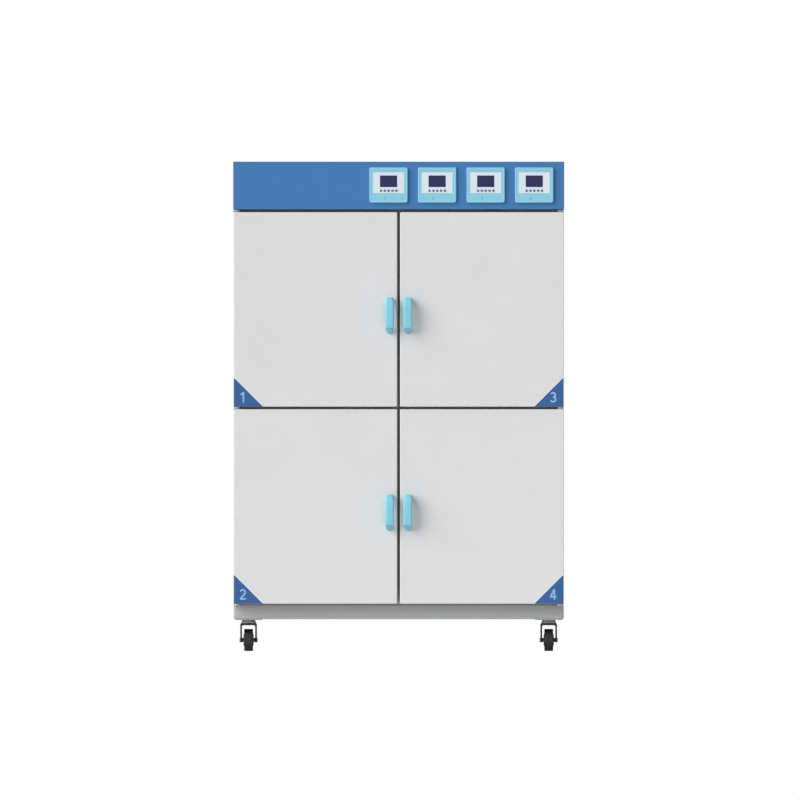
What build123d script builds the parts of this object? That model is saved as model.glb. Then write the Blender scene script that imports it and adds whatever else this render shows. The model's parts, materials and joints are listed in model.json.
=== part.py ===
# Four-chamber drying oven: a steel cabinet on casters with a 2 by 2 block of hinged doors,
# a stainless chamber behind each door, and one controller per chamber in the fascia above.
# Millimetres, +Z up, the doors face -Y. The origin is on the floor, in the middle of the
# whole oven's width and depth.
from build123d import *
import math
import os

# Cabinet
cabinet_width = 1120.0
cabinet_depth = 640.0
sheet = 1.5
rear_flange = 20.0
base_height = 51.0
fascia_height = 162.0
fascia_lap = 30.0
fascia_bend = 2.5
control_window_border = 20.0

# Doors
door_height = 660.0
door_thickness = 55.0
door_floor_gap = 1.0
door_row_gap = 8.5
door_column_gap = 9.5
fascia_gap = 9.5
seal_gap = 8.0
door_edge_radius = 3.0
door_corner_radius = 4.0
door_lip = 14.0
inner_plate = 1.5
inner_plate_inset = 1.0
plug_gap = 12.5
plug_depth = 14.0
plug_radius = 8.0

# Door hinges and catches
pivot_inset = 12.0
pivot_setback = 30.0
pin_radius = 5.0
pin_engagement = 12.0
boss_radius = 9.0
boss_height = 14.0
bracket_width = 22.0
bracket_plate = 4.0
bracket_nose = 11.0
bracket_nose_radius = 8.0
bracket_floor_gap = 2.0
bracket_tab = 3.0
bracket_tab_height = 26.0
catch_width = 14.0
catch_height = 50.0
catch_offset = 21.0

# Door handles
handle_reach = 42.0
handle_width = 29.0
handle_height = 125.0
handle_centreline_offset = 31.0
handle_drop = 21.0
handle_bar = 13.0
handle_chin = 24.0
handle_top_radius = 22.0
handle_foot = 17.0
handle_edge = 5.0
handle_top_corner = 9.0
handle_bottom_corner = 12.5

# Chambers, each one narrower and lower than its door by a lap on every side
chamber_side_lap = 62.625
chamber_end_lap = 65.0
chamber_depth = 450.0
liner_sheet = 1.2
liner_flange = 12.0
gasket_width = 14.0
gasket_radius = 4.0
rib_reach = 8.0
rib_height = 6.0
rib_first = 70.0
rib_pitch = 70.0
rib_count = 6
rib_end_gap = 15.0
shelf_levels = (1, 4)
shelf_side_gap = 2.0
shelf_frame = 6.0
shelf_corner_radius = 12.0
shelf_wire = 3.0
shelf_wire_pitch = 29.0
shelf_support = 5.0
shelf_support_spacing = 130.0

# Air circulation
plenum_depth = 60.0
baffle_gap = 3.0
baffle_sheet = 1.2
baffle_radius = 3.0
slot_width = 8.0
intake_slot_length = 120.0
intake_slot_count = 7
intake_slot_pitch = 18.0
outlet_slot_length = 60.0
outlet_slot_pitch = 38.0
outlet_slot_margin = 57.0
fan_radius = 65.0
fan_depth = 36.0
fan_wall_gap = 10.0
fan_disc = 2.0
fan_hub_radius = 12.0
fan_hub_depth = 22.0
fan_eye_radius = 40.0
blade_count = 12
blade_thickness = 1.5
blade_root_radius = 34.0
shaft_radius = 4.0
shaft_wall_hole_radius = 6.0
bearing_depth = 25.0
motor_radius = 42.0
motor_length = 75.0
motor_flange_radius = 55.0
motor_flange = 5.0
heater_ring_radius = 92.0
heater_tube_radius = 4.25
heater_wall_gap = 26.0
heater_leg_angle = 9.0
wool_thickness = 70.0
motor_wool_gap = 6.0
exhaust_radius = 25.0
exhaust_wall = 1.5
spigot_radius = 24.0
exhaust_reach = 25.0
exhaust_side_margin = 85.0
exhaust_top_margin = 75.0

# Rear louvres and cable gland
louvre_length = 90.0
louvre_width = 6.0
louvre_count = 6
louvre_pitch = 16.0
louvre_columns = 2
louvre_column_pitch = 130.0
gland_side_margin = 80.0
gland_rise = 56.0
gland_thread_radius = 10.0
gland_body_radius = 15.0
gland_bore_radius = 6.0
gland_reach = 22.0
gland_flange = 6.0
gland_nut_radius = 14.0
gland_nut = 6.0
gland_cap_radius = 12.5
gland_cap_chamfer = 3.0

# Controllers
controller_pitch = 164.7
last_controller_margin = 101.5
controller_drop = 79.7
bezel_width = 130.0
bezel_height = 120.0
bezel_depth = 9.0
bezel_corner = 6.0
bezel_edge = 2.5
bezel_wall = 4.0
module_width = 102.0
module_height = 94.0
module_depth = 34.0
module_wall = 2.0
module_lift = 5.0
faceplate_width = 105.0
faceplate_height = 72.0
faceplate_thickness = 1.0
faceplate_lift = 8.0
screen_width = 58.0
screen_height = 39.0
screen_thickness = 3.0
screen_setback = 0.4
screen_lift = 13.0
key_radius = 4.0
key_pitch = 13.0
key_count = 5
key_drop = 19.0
key_stand = 1.5
key_collar_radius = 5.4
key_collar = 1.2
key_edge = 0.6

# Base frame
channel_wall = 3.0
channel_width = 50.0
channel_corner = 6.0
channel_bend = 5.0
cross_member_width = 60.0
gusset_side = 102.0

# Casters
axle_to_plate = 67.5
caster_plate_width = 92.0
caster_plate_depth = 85.0
caster_plate = 3.0
caster_plate_corner = 4.0
caster_inset = 51.0
caster_bolt_spacing_x = 74.0
caster_bolt_spacing_y = 62.0
caster_bolt_hole_radius = 4.5
race_height = 9.0
race_top_radius = 22.0
race_bottom_radius = 25.8
crown_height = 8.7
crown_plate = 7.5
king_pin_radius = 6.0
fork_width = 56.6
fork_leg = 6.0
fork_shoulder = 5.0
fork_inner_radius = 5.0
fork_crown_length = 50.0
fork_trail = 25.0
fork_boss_radius = 8.5
wheel_diameter = 75.0
wheel_width = 30.0
hub_width = 35.0
hub_radius = 16.0
hub_cone_radius = 23.0
tread_chamfer = 2.0
axle_radius = 4.0
axle_head_radius = 6.5
axle_head = 2.0
spacer_radius = 7.0

# Clearances
running = 0.05
key_fit = 0.1
slip = 0.3

# Where things are, from front to back
whole_depth = handle_reach + door_thickness + seal_gap + cabinet_depth + exhaust_reach
door_front_y = handle_reach - whole_depth / 2
door_rear_y = door_front_y + door_thickness
frame_y = door_rear_y + seal_gap
cabinet_rear_y = frame_y + cabinet_depth
shell_depth = cabinet_depth - sheet
liner_rear_y = frame_y + chamber_depth + liner_sheet
pivot_y = door_rear_y - pivot_setback

# From the floor up
caster_height = wheel_diameter / 2 + axle_to_plate + caster_plate
cabinet_floor_z = caster_height + base_height
door_bottom_z = cabinet_floor_z + door_floor_gap
row_pitch = door_height + door_row_gap
fascia_bottom_z = door_bottom_z + 2 * door_height + door_row_gap + fascia_gap
oven_height = fascia_bottom_z + fascia_height
bay_floor_z = fascia_bottom_z - sheet

# From the middle out
door_width = (cabinet_width - door_column_gap) / 2
door_centre_x = (cabinet_width - door_width) / 2
pivot_x = cabinet_width / 2 - pivot_inset
fascia_width = cabinet_width + 2 * sheet
gland_x = gland_side_margin - cabinet_width / 2
gland_z = cabinet_floor_z + gland_rise

# What a chamber holds, from its own size
chamber_width = door_width - 2 * chamber_side_lap
chamber_height = door_height - 2 * chamber_end_lap
plug_width = chamber_width - 2 * plug_gap
plug_height = chamber_height - 2 * plug_gap
baffle_width = chamber_width - 2 * baffle_gap
baffle_height = chamber_height - 2 * baffle_gap
rib_length = chamber_depth - plenum_depth - 2 * rib_end_gap

# Each chamber's number, its side (-1 left, 1 right) and its row (0 lower, 1 upper)
chambers = {1: (-1, 1), 2: (-1, 0), 3: (1, 1), 4: (1, 0)}

# Solids that stand on their lowest face, and start at their front face
FRONT_BASE = (Align.CENTER, Align.MIN, Align.MIN)
FRONT = (Align.CENTER, Align.MIN, Align.CENTER)
BACK = (Align.CENTER, Align.MAX, Align.CENTER)
BASE = (Align.CENTER, Align.CENTER, Align.MIN)
HANGING = (Align.CENTER, Align.CENTER, Align.MAX)

# Turns that lay a solid's own Z along the oven's +Y (backwards) or +X
ALONG_Y = (-90, 0, 0)
ALONG_X = (0, 90, 0)


def chamber_centre(number):
    """The x and z of a chamber's middle, which is also its door's middle."""
    side, row = chambers[number]
    return side * door_centre_x, door_bottom_z + door_height / 2 + row * row_pitch


def chamber_places(y):
    """The middle of every chamber, at one y."""
    return [(x, y, z) for x, z in (chamber_centre(number) for number in chambers)]


def controller_centre(number):
    """The x and z of a controller's middle."""
    last_x = fascia_width / 2 - last_controller_margin
    return last_x - (len(chambers) - number) * controller_pitch, oven_height - controller_drop


def controller_places(y):
    """The middle of every controller, at one y."""
    return [(x, y, z) for x, z in (controller_centre(number) for number in chambers)]


def facing(y):
    """The upright plane at y whose own X and Y are the oven's X and Z. It faces forwards."""
    return Plane.XZ.offset(-y)


def caster_places(z):
    """The swivel axis of each caster at one height, front left first."""
    x = cabinet_width / 2 - caster_inset
    front, rear = frame_y + caster_inset, cabinet_rear_y - caster_inset
    return [(-x, front, z), (x, front, z), (-x, rear, z), (x, rear, z)]


def save(label, part):
    """Names a finished piece and writes it."""
    part.label = label
    export_step(part, f"parts/{label}.step")


def copies(part, places):
    """One node of several like solids."""
    with BuildPart() as made:
        with Locations(*places):
            add(part)
    return made.part


def make_cabinet_shell():
    """Welded sides, top, floor, front frame and the control bay's floor, open at the rear.
    The top steps down by a sheet under the fascia's lap, so that the lap ends flush with it."""
    inner_width = cabinet_width - 2 * sheet
    step_depth = fascia_lap + slip
    with BuildPart() as shell:
        with Locations((0, frame_y, cabinet_floor_z)):
            Box(cabinet_width, shell_depth, oven_height - cabinet_floor_z, align=FRONT_BASE)
        with Locations((0, frame_y, oven_height - sheet)):
            Box(cabinet_width, step_depth, sheet, align=FRONT_BASE, mode=Mode.SUBTRACT)
        with Locations((0, frame_y + sheet, cabinet_floor_z + sheet)):
            chamber_bay = bay_floor_z - cabinet_floor_z - sheet
            Box(inner_width, shell_depth - 2 * sheet, chamber_bay, align=FRONT_BASE, mode=Mode.SUBTRACT)
        with Locations((0, frame_y + sheet, fascia_bottom_z)):
            control_bay = oven_height - 2 * sheet - fascia_bottom_z
            Box(inner_width, shell_depth - 2 * sheet, control_bay, align=FRONT_BASE, mode=Mode.SUBTRACT)
        with Locations((0, frame_y + step_depth + sheet, fascia_bottom_z)):
            bay_depth = shell_depth - step_depth - 2 * sheet
            Box(inner_width, bay_depth, control_bay + sheet, align=FRONT_BASE, mode=Mode.SUBTRACT)
        with Locations((0, cabinet_rear_y - 2 * sheet, cabinet_floor_z + rear_flange)):
            rear_opening = oven_height - cabinet_floor_z - 2 * rear_flange
            Box(cabinet_width - 2 * rear_flange, sheet, rear_opening, align=FRONT_BASE, mode=Mode.SUBTRACT)
        with Locations((0, frame_y, fascia_bottom_z + control_window_border)):
            window_width = inner_width - 2 * control_window_border
            window_height = control_bay - 2 * control_window_border
            Box(window_width, sheet, window_height, align=FRONT_BASE, mode=Mode.SUBTRACT)
        with Locations(*chamber_places(frame_y)):
            mouth_width = chamber_width + 2 * liner_sheet + 2 * slip
            mouth_height = chamber_height + 2 * liner_sheet + 2 * slip
            Box(mouth_width, sheet, mouth_height, align=FRONT, mode=Mode.SUBTRACT)
    return shell.part


def make_rear_panel():
    """Rear cover with a block of louvre slots behind each fan motor."""
    with BuildPart() as panel:
        with Locations((0, cabinet_rear_y - sheet, cabinet_floor_z)):
            Box(cabinet_width, sheet, oven_height - cabinet_floor_z, align=FRONT_BASE)
        with BuildSketch(facing(cabinet_rear_y)):
            for number in chambers:
                x, z = chamber_centre(number)
                with Locations((x, z)):
                    with GridLocations(louvre_column_pitch, louvre_pitch, louvre_columns, louvre_count):
                        SlotOverall(louvre_length, louvre_width)
                with Locations(exhaust_place(number)):
                    Circle(exhaust_radius + slip)
            with Locations((gland_x, gland_z)):
                Circle(gland_thread_radius + slip)
        extrude(amount=sheet, mode=Mode.SUBTRACT)
    return panel.part


def exhaust_place(number):
    """The x and z of a chamber's exhaust pipe, high on its outer side."""
    x, z = chamber_centre(number)
    offset_x = chamber_width / 2 - exhaust_side_margin
    offset_z = chamber_height / 2 - exhaust_top_margin
    return x + chambers[number][0] * offset_x, z + offset_z


def make_control_fascia():
    """Folded cover over the control bay, lapping the cabinet's top and sides."""
    depth = frame_y + fascia_lap - door_front_y
    with BuildPart() as fascia:
        with Locations((0, door_front_y, fascia_bottom_z)):
            Box(fascia_width, depth, fascia_height, align=FRONT_BASE)
        front_face = fascia.faces().sort_by(Axis.Y)[0]
        fillet(front_face.edges(), radius=fascia_bend)
        with Locations((0, door_front_y + sheet, fascia_bottom_z + sheet)):
            Box(cabinet_width, depth - sheet, fascia_height - 2 * sheet, align=FRONT_BASE, mode=Mode.SUBTRACT)
        with Locations((0, frame_y, fascia_bottom_z)):
            Box(cabinet_width, fascia_lap, sheet, align=FRONT_BASE, mode=Mode.SUBTRACT)
        with BuildSketch(facing(door_front_y + sheet)):
            for number in chambers:
                x, z = controller_centre(number)
                with Locations((x, z + module_lift)):
                    Rectangle(module_width + 2 * slip, module_height + 2 * slip)
        extrude(amount=sheet, mode=Mode.SUBTRACT)
    return fascia.part


def make_base_frame():
    """Channel frame with its open side inwards, a cross member and corner gussets."""
    z = caster_height
    inner_height = base_height - 2 * channel_wall
    middle_y = frame_y + cabinet_depth / 2
    with BuildPart() as base:
        with Locations((0, middle_y, z)):
            Box(cabinet_width, cabinet_depth, base_height, align=BASE)
        fillet(base.edges().filter_by(Axis.Z), radius=channel_corner)
        fillet(base.faces().filter_by(Axis.Z).edges(), radius=channel_bend)
        with Locations((0, middle_y, z + channel_wall)):
            Box(
                cabinet_width - 2 * channel_wall,
                cabinet_depth - 2 * channel_wall,
                inner_height,
                align=BASE,
                mode=Mode.SUBTRACT,
            )
        with Locations((0, middle_y, z)):
            Box(
                cabinet_width - 2 * channel_width,
                cabinet_depth - 2 * channel_width,
                base_height,
                align=BASE,
                mode=Mode.SUBTRACT,
            )
        with Locations((0, middle_y, z + channel_wall)):
            length = cabinet_depth - 2 * channel_wall
            Box(cross_member_width, length, inner_height, align=BASE)
            hollow = cross_member_width - 2 * channel_wall
            Box(hollow, length, inner_height - channel_wall, align=BASE, mode=Mode.SUBTRACT)
        gusset_x = (cabinet_width - gusset_side) / 2 - channel_bend
        gusset_y = (cabinet_depth - gusset_side) / 2 - channel_bend
        with Locations((0, middle_y, z)):
            with GridLocations(2 * gusset_x, 2 * gusset_y, 2, 2):
                Box(gusset_side, gusset_side, channel_wall, align=BASE)
    return base.part


def make_chamber_liner():
    """One chamber, its mouth at y = 0 and its middle on the Y axis, with shelf ribs."""
    outer_width = chamber_width + 2 * liner_sheet
    outer_height = chamber_height + 2 * liner_sheet
    with BuildPart() as liner:
        Box(outer_width, chamber_depth + liner_sheet, outer_height, align=FRONT)
        Box(outer_width + 2 * liner_flange, liner_sheet, outer_height + 2 * liner_flange, align=BACK)
        with Locations((0, -liner_sheet, 0)):
            length = chamber_depth + liner_sheet
            Box(chamber_width, length, chamber_height, align=FRONT, mode=Mode.SUBTRACT)
        for level in range(rib_count):
            top_z = rib_first + level * rib_pitch - chamber_height / 2
            for side in (-1, 1):
                with Locations((side * (chamber_width - rib_reach) / 2, rib_end_gap, top_z)):
                    Box(rib_reach, rib_length, rib_height, align=(Align.CENTER, Align.MIN, Align.MAX))
        with Locations((0, chamber_depth, 0)):
            Cylinder(shaft_wall_hole_radius, liner_sheet, rotation=ALONG_Y, align=BASE, mode=Mode.SUBTRACT)
    return liner.part


def make_chamber_liners():
    """The four chambers, each with its exhaust pipe through the rear panel."""
    liner = make_chamber_liner()
    pipe_length = cabinet_rear_y + exhaust_reach - liner_rear_y
    bore = spigot_radius - exhaust_wall
    with BuildPart() as liners:
        with Locations(*chamber_places(frame_y)):
            add(liner)
        for number in chambers:
            x, z = exhaust_place(number)
            with Locations((x, frame_y + chamber_depth, z)):
                Cylinder(bore, liner_sheet, rotation=ALONG_Y, align=BASE, mode=Mode.SUBTRACT)
    with BuildPart() as pipe:
        Cylinder(exhaust_radius, pipe_length - exhaust_reach, rotation=ALONG_Y, align=BASE)
        Cylinder(spigot_radius, pipe_length, rotation=ALONG_Y, align=BASE)
        Cylinder(bore, pipe_length, rotation=ALONG_Y, align=BASE, mode=Mode.SUBTRACT)
    pipes = []
    for number in chambers:
        x, z = exhaust_place(number)
        pipes.append(pipe.part.moved(Location((x, liner_rear_y, z))))
    return Compound(children=list(liners.part.solids()) + pipes)


def make_insulation():
    """Mineral wool round and behind the liners, with a well for each motor."""
    front_y = frame_y + sheet + slip
    depth = liner_rear_y + wool_thickness - front_y
    bottom_z = cabinet_floor_z + sheet + slip
    with BuildPart() as wool:
        with Locations((0, front_y, bottom_z)):
            Box(cabinet_width - 2 * sheet - 2 * slip, depth, bay_floor_z - slip - bottom_z, align=FRONT_BASE)
        with Locations(*chamber_places(front_y)):
            liner_width = chamber_width + 2 * liner_sheet + 2 * slip
            liner_height = chamber_height + 2 * liner_sheet + 2 * slip
            length = liner_rear_y + slip - front_y
            Box(liner_width, length, liner_height, align=FRONT, mode=Mode.SUBTRACT)
        with Locations(*chamber_places(liner_rear_y)):
            well = motor_flange_radius + motor_wool_gap
            Cylinder(well, wool_thickness, rotation=ALONG_Y, align=BASE, mode=Mode.SUBTRACT)
        for number in chambers:
            x, z = exhaust_place(number)
            with Locations((x, liner_rear_y, z)):
                hole = exhaust_radius + slip
                Cylinder(hole, wool_thickness, rotation=ALONG_Y, align=BASE, mode=Mode.SUBTRACT)
    return wool.part


def make_door_gaskets():
    """Seal round each mouth, outside the liner's flange, pressed by the closed door."""
    inner_width = chamber_width + 2 * (liner_sheet + liner_flange + slip)
    inner_height = chamber_height + 2 * (liner_sheet + liner_flange + slip)
    with BuildPart() as gasket:
        with BuildSketch(facing(0)):
            RectangleRounded(inner_width + 2 * gasket_width, inner_height + 2 * gasket_width, gasket_width)
            Rectangle(inner_width, inner_height, mode=Mode.SUBTRACT)
        extrude(amount=seal_gap - slip)
        front_face = gasket.faces().sort_by(Axis.Y)[0]
        fillet(front_face.edges(), radius=gasket_radius)
    return copies(gasket.part, chamber_places(frame_y))


def make_wire_shelves():
    """Two grid shelves in each chamber, each lying on a pair of ribs."""
    width = chamber_width - 2 * shelf_side_gap
    wire_count = int((width - 2 * shelf_frame) / shelf_wire_pitch)
    with BuildPart() as shelf:
        with BuildSketch():
            RectangleRounded(width, rib_length, shelf_corner_radius)
            inner_radius = shelf_corner_radius - shelf_frame
            inner_width, inner_depth = width - 2 * shelf_frame, rib_length - 2 * shelf_frame
            RectangleRounded(inner_width, inner_depth, inner_radius, mode=Mode.SUBTRACT)
        extrude(amount=shelf_frame)
        with GridLocations(0, shelf_support_spacing, 1, 2):
            Box(width - shelf_frame, shelf_support, shelf_frame, align=BASE)
        with Locations((0, 0, shelf_frame)):
            with GridLocations(shelf_wire_pitch, 0, wire_count, 1):
                Box(shelf_wire, rib_length - shelf_frame, shelf_wire, align=BASE)
    places = []
    for x, y, z in chamber_places(frame_y + rib_end_gap + rib_length / 2):
        for level in shelf_levels:
            rib_top = z - chamber_height / 2 + rib_first + level * rib_pitch
            places.append((x, y, rib_top + slip))
    return copies(shelf.part, places)


def make_air_baffles():
    """Slotted plenum cover in front of each fan, open towards the rear wall."""
    outlet_offset = baffle_width / 2 - outlet_slot_margin
    outlet_count = int((baffle_height - outlet_slot_pitch) / outlet_slot_pitch)
    with BuildPart() as baffle:
        Box(baffle_width, plenum_depth, baffle_height, align=BACK)
        front_face = baffle.faces().sort_by(Axis.Y)[0]
        fillet(front_face.edges(), radius=baffle_radius)
        inner_width = baffle_width - 2 * baffle_sheet
        inner_height = baffle_height - 2 * baffle_sheet
        Box(inner_width, plenum_depth - baffle_sheet, inner_height, align=BACK, mode=Mode.SUBTRACT)
        with BuildSketch(facing(-plenum_depth + baffle_sheet)):
            with GridLocations(0, intake_slot_pitch, 1, intake_slot_count):
                SlotOverall(intake_slot_length, slot_width)
            with GridLocations(2 * outlet_offset, outlet_slot_pitch, 2, outlet_count):
                SlotOverall(outlet_slot_length, slot_width)
        extrude(amount=baffle_sheet, mode=Mode.SUBTRACT)
    return copies(baffle.part, chamber_places(frame_y + chamber_depth))


def make_fan_wheel():
    """Fan wheel and its shaft on the Y axis, where y = 0 is the chamber's rear wall."""
    rear_y = -fan_wall_gap
    shaft_length = fan_wall_gap + fan_hub_depth + liner_sheet + bearing_depth
    with BuildPart() as fan:
        with Locations((0, rear_y - fan_disc, 0)):
            Cylinder(fan_radius, fan_disc, rotation=ALONG_Y, align=BASE)
        with Locations((0, rear_y - fan_hub_depth, 0)):
            Cylinder(fan_hub_radius, fan_hub_depth, rotation=ALONG_Y, align=BASE)
            Cylinder(shaft_radius, shaft_length, rotation=ALONG_Y, align=BASE)
        blade_depth = fan_depth - 2 * fan_disc
        blade_length = fan_radius - blade_root_radius
        for blade in range(blade_count):
            turn = Rotation(0, blade * 360 / blade_count, 0)
            with Locations(turn * Location((blade_root_radius, rear_y - fan_disc - blade_depth, 0))):
                Box(blade_length, blade_depth, blade_thickness, align=(Align.MIN, Align.MIN, Align.CENTER))
        with BuildSketch(facing(rear_y - fan_depth + fan_disc)):
            Circle(fan_radius)
            Circle(fan_eye_radius, mode=Mode.SUBTRACT)
        extrude(amount=fan_disc)
    return fan.part


def make_fan_heater_units():
    """A motor behind each chamber's rear wall, and a ring heater round each fan wheel."""
    with BuildPart() as motor:
        Cylinder(motor_flange_radius, motor_flange, rotation=ALONG_Y, align=BASE)
        Cylinder(motor_radius, motor_length, rotation=ALONG_Y, align=BASE)
        bearing = bearing_depth + slip
        Cylinder(shaft_radius + running, bearing, rotation=ALONG_Y, align=BASE, mode=Mode.SUBTRACT)
        fillet(motor.faces().sort_by(Axis.Y)[-1].edges(), radius=motor_flange)
    leg_x = heater_ring_radius * math.sin(math.radians(heater_leg_angle))
    leg_z = -heater_ring_radius * math.cos(math.radians(heater_leg_angle))
    ring_y = -heater_wall_gap
    ring = ThreePointArc((leg_x, ring_y, leg_z), (0, ring_y, heater_ring_radius), (-leg_x, ring_y, leg_z))
    with BuildPart() as heater:
        with BuildSketch(Plane(origin=ring @ 0, z_dir=ring % 0)):
            Circle(heater_tube_radius)
        sweep(path=ring)
        for side in (-1, 1):
            with Locations((side * leg_x, ring_y, leg_z)):
                Sphere(heater_tube_radius)
                Cylinder(heater_tube_radius, heater_wall_gap, rotation=ALONG_Y, align=BASE)
    motors = [motor.part.moved(Location(place)) for place in chamber_places(liner_rear_y)]
    heaters = [heater.part.moved(Location(place)) for place in chamber_places(frame_y + chamber_depth)]
    return Compound(children=motors + heaters)


def make_door_panel(side):
    """Folded outer skin of a door, its front face at y = 0 and its middle on the Y axis."""
    depth = door_thickness - inner_plate
    with BuildPart() as panel:
        Box(door_width, depth, door_height, align=FRONT)
        fillet(panel.edges().filter_by(Axis.Y), radius=door_corner_radius)
        front_face = panel.faces().sort_by(Axis.Y)[0]
        fillet(front_face.edges(), radius=door_edge_radius)
        with Locations((0, sheet, 0)):
            inner_width = door_width - 2 * sheet
            inner_height = door_height - 2 * sheet
            Box(inner_width, depth - 2 * sheet, inner_height, align=FRONT, mode=Mode.SUBTRACT)
        with Locations((0, depth - sheet, 0)):
            opening_width = door_width - 2 * door_lip
            opening_height = door_height - 2 * door_lip
            Box(opening_width, sheet, opening_height, align=FRONT, mode=Mode.SUBTRACT)
        axis_x = side * (door_width / 2 - pivot_inset)
        axis_y = door_thickness - pivot_setback
        for end in (-1, 1):
            edge_z = end * door_height / 2
            with Locations((axis_x, axis_y, edge_z)):
                align = (Align.CENTER, Align.CENTER, Align.MAX if end > 0 else Align.MIN)
                Cylinder(boss_radius, boss_height, align=align)
                Cylinder(pin_radius + running, boss_height, align=align, mode=Mode.SUBTRACT)
    return panel.part


def make_door_inner_plate():
    """Stainless back of a door with its pressed plug; the plate's back is at y = 0."""
    with BuildPart() as plate:
        plate_width = door_width - 2 * inner_plate_inset
        plate_height = door_height - 2 * inner_plate_inset
        Box(plate_width, inner_plate, plate_height, align=BACK)
        Box(plug_width, plug_depth, plug_height, align=FRONT)
        rear_face = plate.faces().sort_by(Axis.Y)[-1]
        fillet(rear_face.edges(), radius=plug_radius)
        with Locations((0, -inner_plate, 0)):
            hollow_width = plug_width - 2 * inner_plate - 2 * plug_radius
            hollow_height = plug_height - 2 * inner_plate - 2 * plug_radius
            Box(hollow_width, plug_depth, hollow_height, align=FRONT, mode=Mode.SUBTRACT)
    return plate.part


def make_door_handle():
    """Bow handle on the door's front face, which is y = 0, with its middle on the Y axis."""
    bottom, top = -handle_height / 2, handle_height / 2
    inner_reach = handle_reach - handle_bar
    with BuildPart() as handle:
        with BuildSketch(Plane.YZ) as side_view:
            with BuildLine():
                Polyline(
                    (0, bottom),
                    (-handle_reach, bottom + handle_chin),
                    (-handle_reach, top),
                    (0, top),
                    close=True,
                )
            make_face()
            outer_top = side_view.vertices().group_by(Axis.Y)[-1].sort_by(Axis.X)[0]
            fillet(outer_top, radius=handle_top_radius)
            with BuildLine():
                Polyline(
                    (0, bottom + handle_foot),
                    (-inner_reach, bottom + handle_chin + handle_bar / 2),
                    (-inner_reach, top - handle_foot),
                    (0, top - handle_foot),
                    close=True,
                )
            make_face(mode=Mode.SUBTRACT)
        extrude(amount=handle_width, both=True)
        with BuildSketch(facing(0)) as front_view:
            Rectangle(handle_width, handle_height)
            fillet(front_view.vertices().group_by(Axis.Y)[-1], radius=handle_top_corner)
            fillet(front_view.vertices().group_by(Axis.Y)[0], radius=handle_bottom_corner)
        extrude(amount=handle_reach, mode=Mode.INTERSECT)
        with BuildSketch(Plane.XY.offset(bottom)) as plan_view:
            Rectangle(handle_width, handle_reach, align=(Align.CENTER, Align.MAX))
            fillet(plan_view.vertices().group_by(Axis.Y)[0], radius=handle_edge)
        extrude(amount=handle_height, mode=Mode.INTERSECT)
    return handle.part


def make_hinge_bracket(gap_above, gap_below):
    """Bracket between two doors, or at one: its plate's underside is at z = 0, its pivot on the Z axis.
    A gap of None means that no door is on that side, so it has no pin and no tab there."""
    back_y = frame_y - pivot_y
    with BuildPart() as bracket:
        with Locations((0, -bracket_nose, 0)):
            Box(bracket_width, back_y + bracket_nose, bracket_plate, align=FRONT_BASE)
        nose = bracket.edges().filter_by(Axis.Z).group_by(Axis.Y)[0]
        fillet(nose, radius=bracket_nose_radius)
        if gap_above is not None:
            with Locations((0, back_y - bracket_tab, bracket_plate)):
                Box(bracket_width, bracket_tab, bracket_tab_height, align=FRONT_BASE)
            with Locations((0, 0, bracket_plate)):
                Cylinder(pin_radius, gap_above + pin_engagement, align=BASE)
        if gap_below is not None:
            with Locations((0, back_y - bracket_tab, 0)):
                tab_align = (Align.CENTER, Align.MIN, Align.MAX)
                Box(bracket_width, bracket_tab, bracket_tab_height, align=tab_align)
            Cylinder(pin_radius, gap_below + pin_engagement, align=HANGING)
    return bracket.part


def make_door_hardware():
    """The six hinge brackets with their pins, and a magnetic catch behind each door's free edge."""
    between_rows = (door_row_gap - bracket_plate) / 2
    under_fascia = (fascia_gap - bracket_plate) / 2
    lower_top_z = door_bottom_z + door_height
    upper_top_z = lower_top_z + row_pitch
    brackets = [
        (make_hinge_bracket(bracket_floor_gap, None), door_bottom_z - bracket_floor_gap - bracket_plate),
        (make_hinge_bracket(between_rows, between_rows), lower_top_z + between_rows),
        (make_hinge_bracket(None, under_fascia), upper_top_z + under_fascia),
    ]
    with BuildPart() as catch:
        Box(catch_width, seal_gap - slip, catch_height, align=BACK)
    pieces = []
    for side in (-1, 1):
        for bracket, z in brackets:
            pieces.append(bracket.moved(Location((side * pivot_x, pivot_y, z))))
    for number in chambers:
        catch_x = chambers[number][0] * catch_offset
        catch_z = chamber_centre(number)[1] - handle_drop
        pieces.append(catch.part.moved(Location((catch_x, frame_y, catch_z))))
    return Compound(children=pieces)


def key_offsets():
    """The x and z of each key from its controller's middle."""
    return [((key - (key_count - 1) / 2) * key_pitch, -key_drop) for key in range(key_count)]


def make_controller_bezels():
    """Light blue housings: each one's flange lies on the fascia and its box goes through it."""
    with BuildPart() as bezel:
        Box(bezel_width, bezel_depth, bezel_height, align=BACK)
        fillet(bezel.edges().filter_by(Axis.Y), radius=bezel_corner)
        front_face = bezel.faces().sort_by(Axis.Y)[0]
        fillet(front_face.edges(), radius=bezel_edge)
        with Locations((0, 0, module_lift)):
            Box(module_width, module_depth, module_height, align=FRONT)
        with Locations((0, bezel_wall - bezel_depth, module_lift)):
            hollow_width = module_width - 2 * module_wall
            hollow_height = module_height - 2 * module_wall
            hollow_depth = module_depth + bezel_depth - bezel_wall
            Box(hollow_width, hollow_depth, hollow_height, align=FRONT, mode=Mode.SUBTRACT)
        with Locations((0, -bezel_depth, faceplate_lift)):
            Box(faceplate_width, faceplate_thickness, faceplate_height, align=FRONT, mode=Mode.SUBTRACT)
        with Locations((0, -bezel_depth, screen_lift)):
            window_width, window_height = screen_width + 2 * slip, screen_height + 2 * slip
            Box(window_width, bezel_wall, window_height, align=FRONT, mode=Mode.SUBTRACT)
        with Locations(*[(x, -bezel_depth, z) for x, z in key_offsets()]):
            Cylinder(key_radius + key_fit, bezel_wall, rotation=ALONG_Y, align=BASE, mode=Mode.SUBTRACT)
    return copies(bezel.part, controller_places(door_front_y))


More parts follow.
